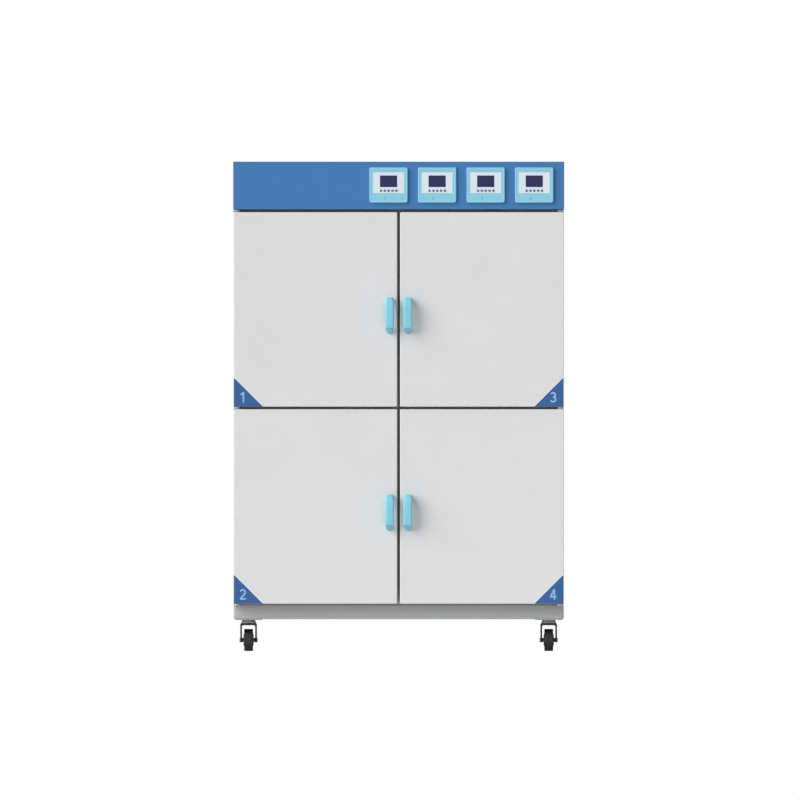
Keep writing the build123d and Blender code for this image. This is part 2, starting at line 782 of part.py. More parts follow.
def make_controller_faceplates():
    """White overlays let into the bezels, with the window and the key holes."""
    with BuildPart() as faceplate:
        width, height = faceplate_width - 2 * slip, faceplate_height - 2 * slip
        with Locations((0, 0, faceplate_lift)):
            Box(width, faceplate_thickness, height, align=FRONT)
        with Locations((0, 0, screen_lift)):
            window_width, window_height = screen_width + 2 * slip, screen_height + 2 * slip
            Box(window_width, faceplate_thickness, window_height, align=FRONT, mode=Mode.SUBTRACT)
        with Locations(*[(x, 0, z) for x, z in key_offsets()]):
            hole = key_radius + key_fit
            Cylinder(hole, faceplate_thickness, rotation=ALONG_Y, align=BASE, mode=Mode.SUBTRACT)
    return copies(faceplate.part, controller_places(door_front_y - bezel_depth))


def make_lcd_screens():
    """Display windows, set just behind the faceplates' front."""
    with BuildPart() as screen:
        with Locations((0, 0, screen_lift)):
            Box(screen_width, screen_thickness, screen_height, align=FRONT)
    return copies(screen.part, controller_places(door_front_y - bezel_depth + screen_setback))


def make_key():
    """Push key: the bezel's front is y = 0, and the collar behind its wall keeps the key in."""
    with BuildPart() as key:
        with Locations((0, -key_stand, 0)):
            Cylinder(key_radius, key_stand + bezel_wall, rotation=ALONG_Y, align=BASE)
        fillet(key.faces().sort_by(Axis.Y)[0].edges(), radius=key_edge)
        with Locations((0, bezel_wall, 0)):
            Cylinder(key_collar_radius, key_collar, rotation=ALONG_Y, align=BASE)
    return key.part


def make_cable_gland():
    """Mains lead's gland: the panel's outer face is y = 0, and the nut is inside the panel."""
    nut_face = -sheet - gland_nut
    with BuildPart() as gland:
        with BuildSketch(Plane.XY):
            with BuildLine():
                Polyline(
                    (gland_bore_radius, nut_face),
                    (gland_nut_radius, nut_face),
                    (gland_nut_radius, -sheet),
                    (gland_thread_radius, -sheet),
                    (gland_thread_radius, 0),
                    (gland_body_radius, 0),
                    (gland_body_radius, gland_flange),
                    (gland_cap_radius, gland_flange),
                    (gland_cap_radius, gland_reach - gland_cap_chamfer),
                    (gland_cap_radius - gland_cap_chamfer, gland_reach),
                    (gland_bore_radius, gland_reach),
                    close=True,
                )
            make_face()
        revolve(axis=Axis.Y)
    return gland.part.moved(Location((gland_x, cabinet_rear_y, gland_z)))


def make_caster_plates():
    """Caster top plates with their race cups, under the base frame's gussets."""
    with BuildPart() as plate:
        Box(caster_plate_width, caster_plate_depth, caster_plate, align=BASE)
        fillet(plate.edges().filter_by(Axis.Z), radius=caster_plate_corner)
        Cone(race_bottom_radius, race_top_radius, race_height, align=HANGING)
        with Locations((0, 0, -race_height)):
            depth = race_height + caster_plate
            Cylinder(king_pin_radius + running, depth, align=BASE, mode=Mode.SUBTRACT)
        with GridLocations(caster_bolt_spacing_x, caster_bolt_spacing_y, 2, 2):
            Cylinder(caster_bolt_hole_radius, caster_plate, align=BASE, mode=Mode.SUBTRACT)
    return copies(plate.part, caster_places(caster_height - caster_plate))


def make_caster_fork():
    """Swivel fork with its king pin, and the axle bolt with its spacers: swivel axis on the Z axis."""
    axle_z = wheel_diameter / 2
    crown_top_z = caster_height - caster_plate - race_height - slip
    crown_bottom_z = crown_top_z - crown_height
    plate_top_z = crown_bottom_z + crown_plate
    leg_bottom_z = axle_z - fork_boss_radius
    inner_width = fork_width - 2 * fork_leg
    with BuildPart() as fork:
        with BuildSketch(Plane.XZ) as front_view:
            with Locations((0, leg_bottom_z)):
                Rectangle(fork_width, plate_top_z - leg_bottom_z, align=(Align.CENTER, Align.MIN))
                opening = crown_bottom_z - leg_bottom_z
                Rectangle(inner_width, opening, align=(Align.CENTER, Align.MIN), mode=Mode.SUBTRACT)
            fillet(front_view.vertices().group_by(Axis.Y)[1], radius=fork_inner_radius)
            fillet(front_view.vertices().group_by(Axis.Y)[-1], radius=fork_shoulder)
        extrude(amount=fork_crown_length + fork_trail, both=True)
        with BuildSketch(Plane.YZ):
            with Locations((0, plate_top_z)):
                Rectangle(fork_crown_length, crown_plate, align=(Align.CENTER, Align.MAX))
            with Locations((fork_trail, axle_z)):
                Circle(fork_boss_radius)
            make_hull()
        extrude(amount=fork_width, both=True, mode=Mode.INTERSECT)
        with Locations((0, 0, plate_top_z)):
            Cylinder(race_bottom_radius, crown_height - crown_plate, align=BASE)
            Cylinder(king_pin_radius, caster_height - slip - plate_top_z, align=BASE)
        with Locations((0, fork_trail, axle_z)):
            Cylinder(axle_radius + running, fork_width, rotation=ALONG_X, mode=Mode.SUBTRACT)
    with BuildPart() as axle:
        with Locations((0, fork_trail, axle_z)):
            Cylinder(axle_radius, fork_width, rotation=ALONG_X)
        spacer_start = hub_width / 2 + slip
        spacer_length = inner_width / 2 - spacer_start
        for side in (-1, 1):
            with Locations((side * (spacer_start + spacer_length / 2), fork_trail, axle_z)):
                Cylinder(spacer_radius, spacer_length, rotation=ALONG_X)
                Cylinder(axle_radius + running, spacer_length, rotation=ALONG_X)
            with BuildSketch(Plane.YZ.offset(side * fork_width / 2)):
                with Locations((fork_trail, axle_z)):
                    RegularPolygon(axle_head_radius, 6)
            extrude(amount=side * axle_head)
    return Compound(children=[fork.part, axle.part])


def make_caster_wheel():
    """Wheel with a moulded tread, on the axle of a fork whose swivel axis is the Z axis."""
    radius = wheel_diameter / 2
    bore = axle_radius + running
    with BuildPart() as wheel:
        with BuildSketch(Plane.XZ):
            with BuildLine():
                Polyline(
                    (-hub_width / 2, bore),
                    (-hub_width / 2, hub_radius),
                    (-wheel_width / 2, hub_cone_radius),
                    (-wheel_width / 2, radius - tread_chamfer),
                    (tread_chamfer - wheel_width / 2, radius),
                    (wheel_width / 2 - tread_chamfer, radius),
                    (wheel_width / 2, radius - tread_chamfer),
                    (wheel_width / 2, hub_cone_radius),
                    (hub_width / 2, hub_radius),
                    (hub_width / 2, bore),
                    close=True,
                )
            make_face()
        revolve(axis=Axis.X)
    return wheel.part.moved(Location((0, fork_trail, radius)))


os.makedirs("parts", exist_ok=True)

save("cabinet_shell", make_cabinet_shell())
save("rear_panel", make_rear_panel())
save("control_fascia", make_control_fascia())
save("base_frame", make_base_frame())
save("chamber_liners", make_chamber_liners())
save("insulation", make_insulation())
save("door_gaskets", make_door_gaskets())
save("wire_shelves", make_wire_shelves())
save("air_baffles", make_air_baffles())
save("fan_heater_units", make_fan_heater_units())
save("door_hardware", make_door_hardware())
save("controller_bezels", make_controller_bezels())
save("controller_faceplates", make_controller_faceplates())
save("lcd_screens", make_lcd_screens())
save("cable_gland", make_cable_gland())
save("caster_plates", make_caster_plates())

fan = make_fan_wheel()
inner = make_door_inner_plate()
handle = make_door_handle()
key = make_key()
for number in chambers:
    side = chambers[number][0]
    x, z = chamber_centre(number)
    save(f"fan_wheel_{number}", fan.moved(Location((x, frame_y + chamber_depth, z))))
    save(f"door_panel_{number}", make_door_panel(side).moved(Location((x, door_front_y, z))))
    save(f"door_inner_plate_{number}", inner.moved(Location((x, door_rear_y, z))))
    handle_place = (side * handle_centreline_offset, door_front_y, z - handle_drop)
    save(f"door_handle_{number}", handle.moved(Location(handle_place)))
    x, z = controller_centre(number)
    for index, (key_x, key_z) in enumerate(key_offsets(), start=1):
        key_place = (x + key_x, door_front_y - bezel_depth, z + key_z)
        save(f"controller_{number}_key_{index}", key.moved(Location(key_place)))

fork = make_caster_fork()
wheel = make_caster_wheel()
for number, place in enumerate(caster_places(0), start=1):
    save(f"caster_fork_{number}", fork.moved(Location(place)))
    save(f"caster_wheel_{number}", wheel.moved(Location(place)))
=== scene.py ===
# Looks of the four-chamber drying oven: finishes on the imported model's nodes, the pieces
# that are drawn here in place of a node or on top of one, the light and the camera.
# Metres, +Z up, the doors face -Y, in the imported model's own frame.
import json
import math

import bmesh
import bpy
from mathutils import Matrix, Vector


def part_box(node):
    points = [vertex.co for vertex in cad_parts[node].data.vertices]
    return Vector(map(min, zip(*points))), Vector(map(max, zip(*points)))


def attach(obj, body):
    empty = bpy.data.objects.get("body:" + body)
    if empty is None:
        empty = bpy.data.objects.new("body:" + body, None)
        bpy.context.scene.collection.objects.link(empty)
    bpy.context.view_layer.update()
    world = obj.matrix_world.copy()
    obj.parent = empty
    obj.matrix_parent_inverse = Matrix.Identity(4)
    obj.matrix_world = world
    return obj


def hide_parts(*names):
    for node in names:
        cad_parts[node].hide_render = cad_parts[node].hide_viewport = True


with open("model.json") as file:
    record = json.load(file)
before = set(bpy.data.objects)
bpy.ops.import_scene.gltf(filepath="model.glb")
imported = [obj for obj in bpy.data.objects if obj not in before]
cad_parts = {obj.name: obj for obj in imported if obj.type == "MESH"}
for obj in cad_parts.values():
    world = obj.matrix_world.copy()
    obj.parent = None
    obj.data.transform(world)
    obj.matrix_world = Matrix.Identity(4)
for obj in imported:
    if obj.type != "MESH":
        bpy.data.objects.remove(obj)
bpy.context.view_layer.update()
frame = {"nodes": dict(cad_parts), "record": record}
nodes = frame["nodes"]

MM = 0.001
RIGHT, UP, DOWN = Vector((1, 0, 0)), Vector((0, 0, 1)), Vector((0, 0, -1))
FRONT, BACK = Vector((0, -1, 0)), Vector((0, 1, 0))

# Chamber 1 is the upper left one, 2 the lower left, 3 the upper right and 4 the lower right
CHAMBERS = (1, 2, 3, 4)
SIDE = {1: -1, 2: -1, 3: 1, 4: 1}


# Finishes

def srgb(red, green, blue):
    """A display colour of 0 to 255 as the linear colour that a shader takes, by the sRGB curve."""
    def linear(value):
        share = value / 255
        if share <= 0.04045:
            return share / 12.92
        return ((share + 0.055) / 1.055) ** 2.4
    return (linear(red), linear(green), linear(blue), 1.0)


def shade(colour, factor):
    """A linear colour made lighter or darker."""
    return tuple(min(1.0, channel * factor) for channel in colour[:3]) + (1.0,)


class Finish:
    """A procedural material: a shader, its object coordinates and the textures that drive it."""

    def __init__(self, name, colour, roughness, **inputs):
        self.material = bpy.data.materials.new(name)
        self.material.use_nodes = True
        self.tree = self.material.node_tree
        self.shader = self.tree.nodes["Principled BSDF"]
        self.colour = colour
        self.roughness = roughness
        self.shader.inputs["Base Color"].default_value = colour
        self.shader.inputs["Roughness"].default_value = roughness
        for label, value in inputs.items():
            self.shader.inputs[label.replace("_", " ")].default_value = value
        self.coordinates = self.tree.nodes.new("ShaderNodeTexCoord").outputs["Object"]

    def feed(self, socket, value):
        """Links another node's output to a socket, or sets the socket to any other value."""
        if isinstance(value, bpy.types.NodeSocket):
            self.tree.links.new(value, socket)
        else:
            socket.default_value = value

    def node(self, kind, values=None, **settings):
        """Adds a node with its settings and with values for its sockets."""
        made = self.tree.nodes.new(kind)
        for name, setting in settings.items():
            setattr(made, name, setting)
        for socket, value in (values or {}).items():
            self.feed(made.inputs[socket], value)
        return made

    def link(self, output, socket):
        self.tree.links.new(output, self.shader.inputs[socket])

    def noise(self, size, detail=2.0, stretch=(1, 1, 1)):
        """Noise with features about that many metres across, drawn out along an axis by stretch."""
        scale = [1 / (size * factor) for factor in stretch]
        mapping = self.node("ShaderNodeMapping", {"Vector": self.coordinates, "Scale": scale})
        values = {"Scale": 1.0, "Detail": detail, "Roughness": 0.55}
        noise = self.node("ShaderNodeTexNoise", {"Vector": mapping.outputs["Vector"], **values})
        return noise.outputs["Fac"]

    def cells(self, size):
        """Flat cells about that many metres across, each with a level of its own."""
        values = {"Vector": self.coordinates, "Scale": 1 / size}
        cells = self.node("ShaderNodeTexVoronoi", values)
        grey = self.node("ShaderNodeSeparateColor", {"Color": cells.outputs["Color"]})
        return grey.outputs["Red"]

    def ramp(self, level, low, high, start=0.3, end=0.7):
        """The level between start and end, as a value between low and high."""
        values = {"Value": level, "From Min": start, "From Max": end, "To Min": low, "To Max": high}
        return self.node("ShaderNodeMapRange", values).outputs["Result"]

    def blend(self, level, first, second):
        """A colour between two, by a level of 0 to 1."""
        mixed = self.node("ShaderNodeMix", data_type="RGBA")
        sockets = {socket.identifier: socket for socket in mixed.inputs}
        self.feed(sockets["Factor_Float"], level)
        self.feed(sockets["A_Color"], first)
        self.feed(sockets["B_Color"], second)
        return next(out for out in mixed.outputs if out.identifier == "Result_Color")

    def mottle(self, level, spread):
        """Lets the base colour vary a little either side of its own value."""
        darker, lighter = shade(self.colour, 1 - spread), shade(self.colour, 1 + spread)
        self.link(self.blend(self.ramp(level, 0.0, 1.0), darker, lighter), "Base Color")

    def rough(self, level, less, more):
        """Lets the roughness vary from less below its own value to more above it."""
        varied = self.ramp(level, self.roughness - less, self.roughness + more)
        self.link(varied, "Roughness")

    def bump(self, *layers):
        """Fine relief from pairs of a level and a height in metres."""
        beneath = {}
        for level, height in layers:
            values = {"Height": level, "Distance": height, "Strength": 1.0, **beneath}
            beneath = {"Normal": self.node("ShaderNodeBump", values).outputs["Normal"]}
        self.link(beneath["Normal"], "Normal")


def painted_steel(name, colour, roughness, grain=1.6 * MM, spread=0.015):
    """Powder coat: an orange-peel skin, slightly uneven in colour and in gloss."""
    finish = Finish(name, colour, roughness, Specular_IOR_Level=0.4)
    finish.mottle(finish.noise(220 * MM, detail=4), spread)
    finish.rough(finish.noise(30 * MM, detail=3), less=0.05, more=0.07)
    finish.bump(
        (finish.noise(grain), 0.04 * MM),
        (finish.noise(7 * grain, detail=1), 0.06 * MM),
    )
    return finish


def brushed_steel(name, colour, roughness, along=(60, 1, 1), scratch=0.6 * MM):
    """Rolled and brushed sheet: long fine lines, and a slow cloudiness."""
    finish = Finish(name, colour, roughness, Metallic=1.0)
    lines = finish.noise(scratch, detail=3, stretch=along)
    finish.mottle(finish.noise(120 * MM, detail=3), spread=0.03)
    finish.rough(lines, less=0.06, more=0.08)
    finish.bump((lines, 0.006 * MM))
    return finish


def moulded_plastic(name, colour, roughness, grain=0.7 * MM, spread=0.02, depth=0.02 * MM):
    """Injection moulding or printed film: a fine texture and a little unevenness."""
    finish = Finish(name, colour, roughness, Specular_IOR_Level=0.45)
    finish.mottle(finish.noise(50 * MM, detail=3), spread)
    finish.rough(finish.noise(12 * MM, detail=3), less=0.04, more=0.06)
    finish.bump((finish.noise(grain), depth))
    return finish


def cast_metal(name, colour, roughness):
    """Die-cast metal: a sandy skin."""
    finish = Finish(name, colour, roughness, Metallic=1.0)
    finish.mottle(finish.noise(20 * MM, detail=4), spread=0.08)
    finish.rough(finish.noise(6 * MM, detail=3), less=0.06, more=0.1)
    finish.bump((finish.noise(1.2 * MM, detail=3), 0.05 * MM))
    return finish


def zinc_plate(name, colour, roughness):
    """Zinc: small bright and dull spangles under a thin haze."""
    finish = Finish(name, colour, roughness, Metallic=0.75)
    finish.mottle(finish.cells(4 * MM), spread=0.09)
    finish.rough(finish.noise(8 * MM, detail=3), less=0.06, more=0.1)
    finish.bump((finish.noise(1.5 * MM, detail=3), 0.03 * MM))
    return finish


def moulded_rubber(name, colour, roughness, spread=0.12):
    """Rubber: dull, a little dusty, with a fine skin."""
    finish = Finish(name, colour, roughness, Specular_IOR_Level=0.3)
    finish.mottle(finish.noise(12 * MM, detail=5), spread)
    finish.rough(finish.noise(5 * MM, detail=3), less=0.08, more=0.08)
    finish.bump((finish.noise(0.6 * MM, detail=3), 0.04 * MM))
    return finish


def mineral_wool(name, colour, roughness):
    """Pressed fibres, running mostly one way."""
    finish = Finish(name, colour, roughness)
    fibres = finish.noise(1.5 * MM, detail=6, stretch=(8, 1, 1))
    finish.mottle(fibres, spread=0.2)
    finish.bump((fibres, 0.6 * MM), (finish.noise(30 * MM, detail=4), 2 * MM))
    return finish


def lcd_glass(name, colour, roughness, cell=0.6 * MM):
    """Display window: a clear front over dark cells. cell is about half the cells' pitch."""
    finish = Finish(name, colour, roughness, Specular_IOR_Level=0.25)
    values = {"Vector": finish.coordinates, "Scale": 1 / (2 * math.pi * cell), "Distortion": 0.0}
    columns, rows = [
        finish.node("ShaderNodeTexWave", values, bands_direction=axis).outputs["Fac"]
        for axis in ("X", "Z")
    ]
    grid = finish.node("ShaderNodeMath", {0: columns, 1: rows}, operation="MINIMUM")
    cloud = finish.ramp(finish.noise(50 * MM), 0.0, 1.0)
    panel = finish.blend(cloud, shade(colour, 0.9), shade(colour, 1.14))
    lines = finish.ramp(grid.outputs["Value"], 0.0, 0.35, start=0.0, end=0.3)
    finish.link(finish.blend(lines, shade(colour, 0.8), panel), "Base Color")
    finish.rough(finish.noise(20 * MM), less=0.04, more=0.02)
    return finish


# Each finish by its slot: its maker, display colour and roughness, and what else the maker takes
FINISHES = {
    name: make(name, srgb(*colour), roughness, *others)
    for name, make, colour, roughness, *others in (
        ("shell_paint", painted_steel, (217, 217, 218), 0.42),
        ("door_paint", painted_steel, (218, 218, 219), 0.42),
        ("fascia_paint", painted_steel, (58, 117, 173), 0.4),
        ("base_paint", painted_steel, (176, 177, 178), 0.45),
        ("stainless", brushed_steel, (206, 206, 208), 0.32),
        ("bright_wire", zinc_plate, (214, 216, 219), 0.24),
        ("handle_plastic", moulded_plastic, (129, 202, 220), 0.38),
        ("bezel_plastic", moulded_plastic, (135, 200, 222), 0.4),
        ("faceplate_film", moulded_plastic, (216, 227, 236), 0.5, 0.4 * MM, 0.015, 0.008 * MM),
        ("lcd_window", lcd_glass, (48, 45, 92), 0.14),
        ("display_border", moulded_plastic, (40, 37, 76), 0.4, 0.4 * MM, 0.03, 0.008 * MM),
        ("key_rubber", moulded_rubber, (90, 107, 132), 0.55, 0.06),
        ("caster_zinc", zinc_plate, (182, 183, 185), 0.42),
        ("fork_black", painted_steel, (34, 34, 36), 0.38, 0.9 * MM, 0.12),
        ("wheel_rubber", moulded_rubber, (40, 40, 42), 0.6),
        ("seal_silicone", moulded_rubber, (66, 66, 70), 0.62),
        ("mineral_wool", mineral_wool, (206, 194, 140), 0.95),
        ("motor_alloy", cast_metal, (168, 170, 173), 0.45),
        ("hinge_steel", brushed_steel, (170, 171, 174), 0.35, (1, 1, 20), 0.8 * MM),
        ("gland_nylon", moulded_plastic, (48, 49, 52), 0.5, 0.5 * MM, 0.05),
        ("badge_film", moulded_plastic, (47, 90, 145), 0.36, 0.5 * MM, 0.02, 0.008 * MM),
        ("badge_edge", moulded_plastic, (214, 226, 246), 0.4, 0.5 * MM, 0.02, 0.008 * MM),
        ("badge_digit", moulded_plastic, (140, 180, 226), 0.4, 0.5 * MM, 0.02, 0.008 * MM),
        ("printed_digit", moulded_plastic, (78, 132, 160), 0.5, 0.4 * MM, 0.03, 0.005 * MM),
        ("screw_steel", brushed_steel, (188, 189, 192), 0.3, (1, 1, 8), 0.5 * MM),
    )
}


def paint_nodes():
    """Every node gets the finish of its own slot in the record."""
    for row in frame["record"]["subparts"]:
        node = nodes[row["node"]]
        material = FINISHES[row["material_slot"]].material
        if not node.material_slots:
            node.data.materials.append(material)
        for slot in node.material_slots:
            slot.material = material


# Pieces and their meshes

def new_object(name, data):
    made = bpy.data.objects.new(name, data)
    bpy.context.scene.collection.objects.link(made)
    return made


def new_piece(name, mesh, body, finish, smooth):
    """A mesh as a piece on a body. Edges under smooth degrees are shaded round."""
    piece = new_object(name, mesh)
    mesh.materials.append(FINISHES[finish].material)
    for polygon in mesh.polygons:
        polygon.use_smooth = True
    mesh.set_sharp_from_angle(angle=math.radians(smooth))
    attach(piece, body)
    return piece


def mesh_from(name, build):
    """A mesh made by a function that fills a bmesh."""
    made = bmesh.new()
    build(made)
    bmesh.ops.remove_doubles(made, verts=made.verts, dist=1e-7)
    bmesh.ops.recalc_face_normals(made, faces=made.faces)
    mesh = bpy.data.meshes.new(name)
    made.to_mesh(mesh)
    made.free()
    return mesh


def draw_piece(name, build, body, finish, smooth):
    """A piece whose mesh is made by a function that fills a bmesh."""
    return new_piece(name, mesh_from(name, build), body, finish, smooth)


def vertex_lines(made, lines):
    """Vertices at lines of points."""
    return [[made.verts.new(point) for point in line] for line in lines]


def strip(made, first, second, closed=False):
    """Quads between two lines or two closed loops of as many vertices."""
    count = len(first)
    faces = []
    for index in range(count if closed else count - 1):
        after = (index + 1) % count
        faces.append(made.faces.new((first[index], first[after], second[after], second[index])))
    return faces


def skin(made, rings, closed=False):
    """Quads between rings of as many points. A skin that isn't closed gets a cap on each end."""
    loops = vertex_lines(made, rings)
    for first, second in zip(loops, loops[1:]):
        strip(made, first, second, closed=True)
    if closed:
        strip(made, loops[-1], loops[0], closed=True)
    else:
        made.faces.new(loops[0][::-1])
        made.faces.new(loops[-1])


def loop_edges(made, loop):
    """The edges round a loop of vertices, made where there are none."""
    pairs = zip(loop, loop[1:] + loop[:1])
    return [made.edges.get(pair) or made.edges.new(pair) for pair in pairs]


def thicken(made, faces, depth):
    """Gives faces a thickness towards the back, in the same order each run."""
    rim = [edge for face in faces for edge in face.edges if edge.is_boundary]
    behind = {}
    for face in faces:
        for corner in face.verts:
            if corner not in behind:
                behind[corner] = made.verts.new(corner.co + BACK * depth)
        first, *others = [behind[corner] for corner in face.verts]
        made.faces.new([first] + others[::-1])
    for edge in rim:
        strip(made, edge.verts, [behind[corner] for corner in edge.verts])


def slab(made, outline, place, depth, holes=()):
    """A flat piece with its front at place and its back depth behind. The outline is in x and z."""
    edges = []
    for loop in (outline, *holes):
        corners = [made.verts.new(place + Vector((x, 0, z))) for x, z in loop]
        edges += loop_edges(made, corners)
    flat = bmesh.ops.triangle_fill(made, use_beauty=True, use_dissolve=True, edges=edges)
    thicken(made, [item for item in flat["geom"] if isinstance(item, bmesh.types.BMFace)], depth)


def circle_points(centre, radius, across, up, sides):
    """Points round a circle in the plane of two unit vectors."""
    points = []
    for side in range(sides):
        angle = 2 * math.pi * side / sides
        points.append(centre + radius * (math.cos(angle) * across + math.sin(angle) * up))
    return points


def arc(centre, radius, start, end, steps):
    """Points in a plane along an arc, angles in degrees."""
    points = []
    for step in range(steps + 1):
        angle = math.radians(start + (end - start) * step / steps)
        x, y = centre[0] + radius * math.cos(angle), centre[1] + radius * math.sin(angle)
        points.append((x, y))
    return points


LEAST_CORNER = 0.2 * MM


def rounded_outline(half, top, foot, inset=0.0, steps=6):
    """Points (x, z) round a rectangle, with radius top on its upper corners, foot on its lower."""
    wide, high = half.x - inset, half.y - inset
    top, foot = max(top - inset, LEAST_CORNER), max(foot - inset, LEAST_CORNER)
    outline = arc((wide - foot, foot - high), foot, -90, 0, steps)
    outline += arc((wide - top, high - top), top, 0, 90, steps)
    outline += arc((top - wide, high - top), top, 90, 180, steps)
    outline += arc((foot - wide, foot - high), foot, 180, 270, steps)
    return outline


def centre_of(node):
    low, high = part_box(node)
    return (low + high) / 2


def places_from(anchors, y, offsets):
    """Places at one y, by their offsets in x and z from the middle of each of the anchor nodes."""
    middles = [centre_of(node) for node in anchors]
    return [Vector((middle.x + x, y, middle.z + z)) for middle in middles for x, z in offsets]


DOORS = [f"door_panel_{number}" for number in CHAMBERS]
MIDDLE_KEYS = [f"controller_{number}_key_3" for number in CHAMBERS]


# The digits 1 to 4: lines of points in a box 1 high, and the width of the stroke along them
STROKE = 0.15
LONGEST_MITRE = 0.4
DIGIT_STROKES = {
    1: (((0.06, 0.0), (0.06, 1.0)), ((-0.2, 0.73), (0.06, 0.93))),
    2: (
        (*arc((0.0, 0.70), 0.225, 165, -38, 16), (-0.24, STROKE / 2)),
        ((-0.28, STROKE / 2), (0.3, STROKE / 2)),
    ),
    3: (arc((0.0, 0.725), 0.2, 160, -90, 16), arc((0.0, 0.3), 0.225, 90, -160, 16)),
    4: (
        ((0.12, 0.0), (0.12, 1.0)), ((-0.3, 0.27), (0.32, 0.27)), ((0.09, 0.95), (-0.24, 0.29)),
    ),
}


def stroke_outline(points, width):
    """The outline of a stroke along a line of points, with mitred corners."""
    line = [Vector(point) for point in points]
    runs = [(after - before).normalized() for before, after in zip(line, line[1:])]
    left, right = [], []
    for here, into, out in zip(line, runs[:1] + runs, runs + runs[-1:]):
        along = (into + out).normalized()
        normal = Vector((-along.y, along.x))
        reach = width / 2 / max(LONGEST_MITRE, normal.dot(Vector((-into.y, into.x))))
        left.append(tuple(here + normal * reach))
        right.append(tuple(here - normal * reach))
    return left + right[::-1]


def digit_mesh(name, digit, place, height, depth):
    """A plain digit whose lower middle is at place, as one closed solid."""
    scratch = []
    for number, stroke in enumerate(DIGIT_STROKES[digit]):
        outline = [(x * height, z * height) for x, z in stroke_outline(stroke, STROKE)]
        mesh = mesh_from(
            f"{name}_{number}", lambda made, line=outline: slab(made, line, place, depth)
        )
        scratch.append(new_object(mesh.name, mesh))
    body = scratch[0]
    for other in scratch[1:]:
        union = body.modifiers.new("union", "BOOLEAN")
        union.operation = "UNION"
        union.solver = "EXACT"
        union.object = other
    evaluated = body.evaluated_get(bpy.context.evaluated_depsgraph_get())
    mesh = bpy.data.meshes.new_from_object(evaluated)
    mesh.name = name
    for piece in scratch:
        bpy.data.objects.remove(piece)
    return mesh


# Door badges: a right triangle in each door's lower outer corner, with a pale line and a number
DOOR_CORNER = 4 * MM
DOOR_EDGE = 3 * MM
BADGE_LEG = 100 * MM
BADGE_INSET = 0.5 * MM
BADGE_FILM = 0.3 * MM
BADGE_LINE = 4.5 * MM
BADGE_ROWS, BADGE_COLUMNS = 28, 24
CROWDING = 1.6
# The number on it: its height, place and film
NUMBER_HEIGHT, NUMBER_RISE = 36 * MM, 14 * MM
NUMBER_INSET = {-1: 31.5 * MM, 1: 36 * MM}
NUMBER_PROUD, NUMBER_FILM = 0.15 * MM, 0.2 * MM


def door_fall(inset_x, inset_z):
    """How far a door's rounded edge lies behind its flat front, that far in from its sides."""
    corner = DOOR_CORNER
    if inset_x < corner and inset_z < corner:
        inset = corner - math.hypot(corner - inset_x, corner - inset_z)
    else:
        inset = min(inset_x, inset_z)
    if inset >= DOOR_EDGE:
        return 0.0
    short = DOOR_EDGE - max(inset, 0.0)
    return DOOR_EDGE - math.sqrt(max(0.0, DOOR_EDGE**2 - short**2))


def crowded(start, end, count):
    """Distances from start to end, close together near the start."""
    run = end - start
    return [start + run * (step / count) ** CROWDING for step in range(count + 1)]


def wrapped_film(made, outer_x, front_y, side, spans):
    """A film on a door's corner. spans gives, for each height, the insets between which it lies."""
    lines = []
    for inset_z, first, last in spans:
        line = []
        for inset_x in crowded(first, last, BADGE_COLUMNS):
            y = front_y + door_fall(inset_x, inset_z) - BADGE_FILM
            line.append(Vector((outer_x - side * inset_x, y, inset_z)))
        lines.append(line)
    grid = vertex_lines(made, lines)
    faces = []
    for below, above in zip(grid, grid[1:]):
        faces += strip(made, below, above)
    thicken(made, faces, BADGE_FILM)


def add_door_badges():
    """A blue badge on each door, a pale line along its long side and a plain chamber number."""
    heights = crowded(BADGE_INSET, BADGE_LEG - 2 * BADGE_INSET, BADGE_ROWS)
    blue = [(z, BADGE_INSET, BADGE_LEG - z) for z in heights]
    pale = [(z, BADGE_LEG - z, BADGE_LEG + BADGE_LINE - z) for z in heights]
    for number, door in zip(CHAMBERS, DOORS):
        side = SIDE[number]
        low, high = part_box(door)
        outer_x = low.x if side < 0 else high.x
        body = f"door_{number}"
        for label, spans, finish in (
            ("badge", blue, "badge_film"), ("badge_line", pale, "badge_edge")
        ):
            name = f"door_{number}_{label}"
            mesh = mesh_from(
                name, lambda made, spans=spans: wrapped_film(made, outer_x, low.y, side, spans)
            )
            mesh.transform(Matrix.Translation((0, 0, low.z)))
            new_piece(name, mesh, body, finish, 30)
        place = Vector((
            outer_x - side * NUMBER_INSET[side],
            low.y - BADGE_FILM - NUMBER_PROUD,
            low.z + NUMBER_RISE,
        ))
        name = f"door_{number}_number"
        mesh = digit_mesh(name, number, place, NUMBER_HEIGHT, NUMBER_FILM)
        new_piece(name, mesh, body, "badge_digit", 30)


# Numbers on the controllers, placed from the middle key
PRINT_HEIGHT, PRINT_OFFSET, PRINT_Z = 8.7 * MM, -12.7 * MM, 1531 * MM
PRINT_PROUD, PRINT_FILM = 0.05 * MM, 0.1 * MM


def add_controller_numbers():
    """The chamber's number, printed small under each controller's keys."""
    front_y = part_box("controller_bezels")[0].y
    for number, key in zip(CHAMBERS, MIDDLE_KEYS):
        place = Vector((centre_of(key).x + PRINT_OFFSET, front_y - PRINT_PROUD, PRINT_Z))
        name = f"controller_{number}_number"
        mesh = digit_mesh(name, number, place, PRINT_HEIGHT, PRINT_FILM)
        new_piece(name, mesh, "cabinet", "printed_digit", 30)


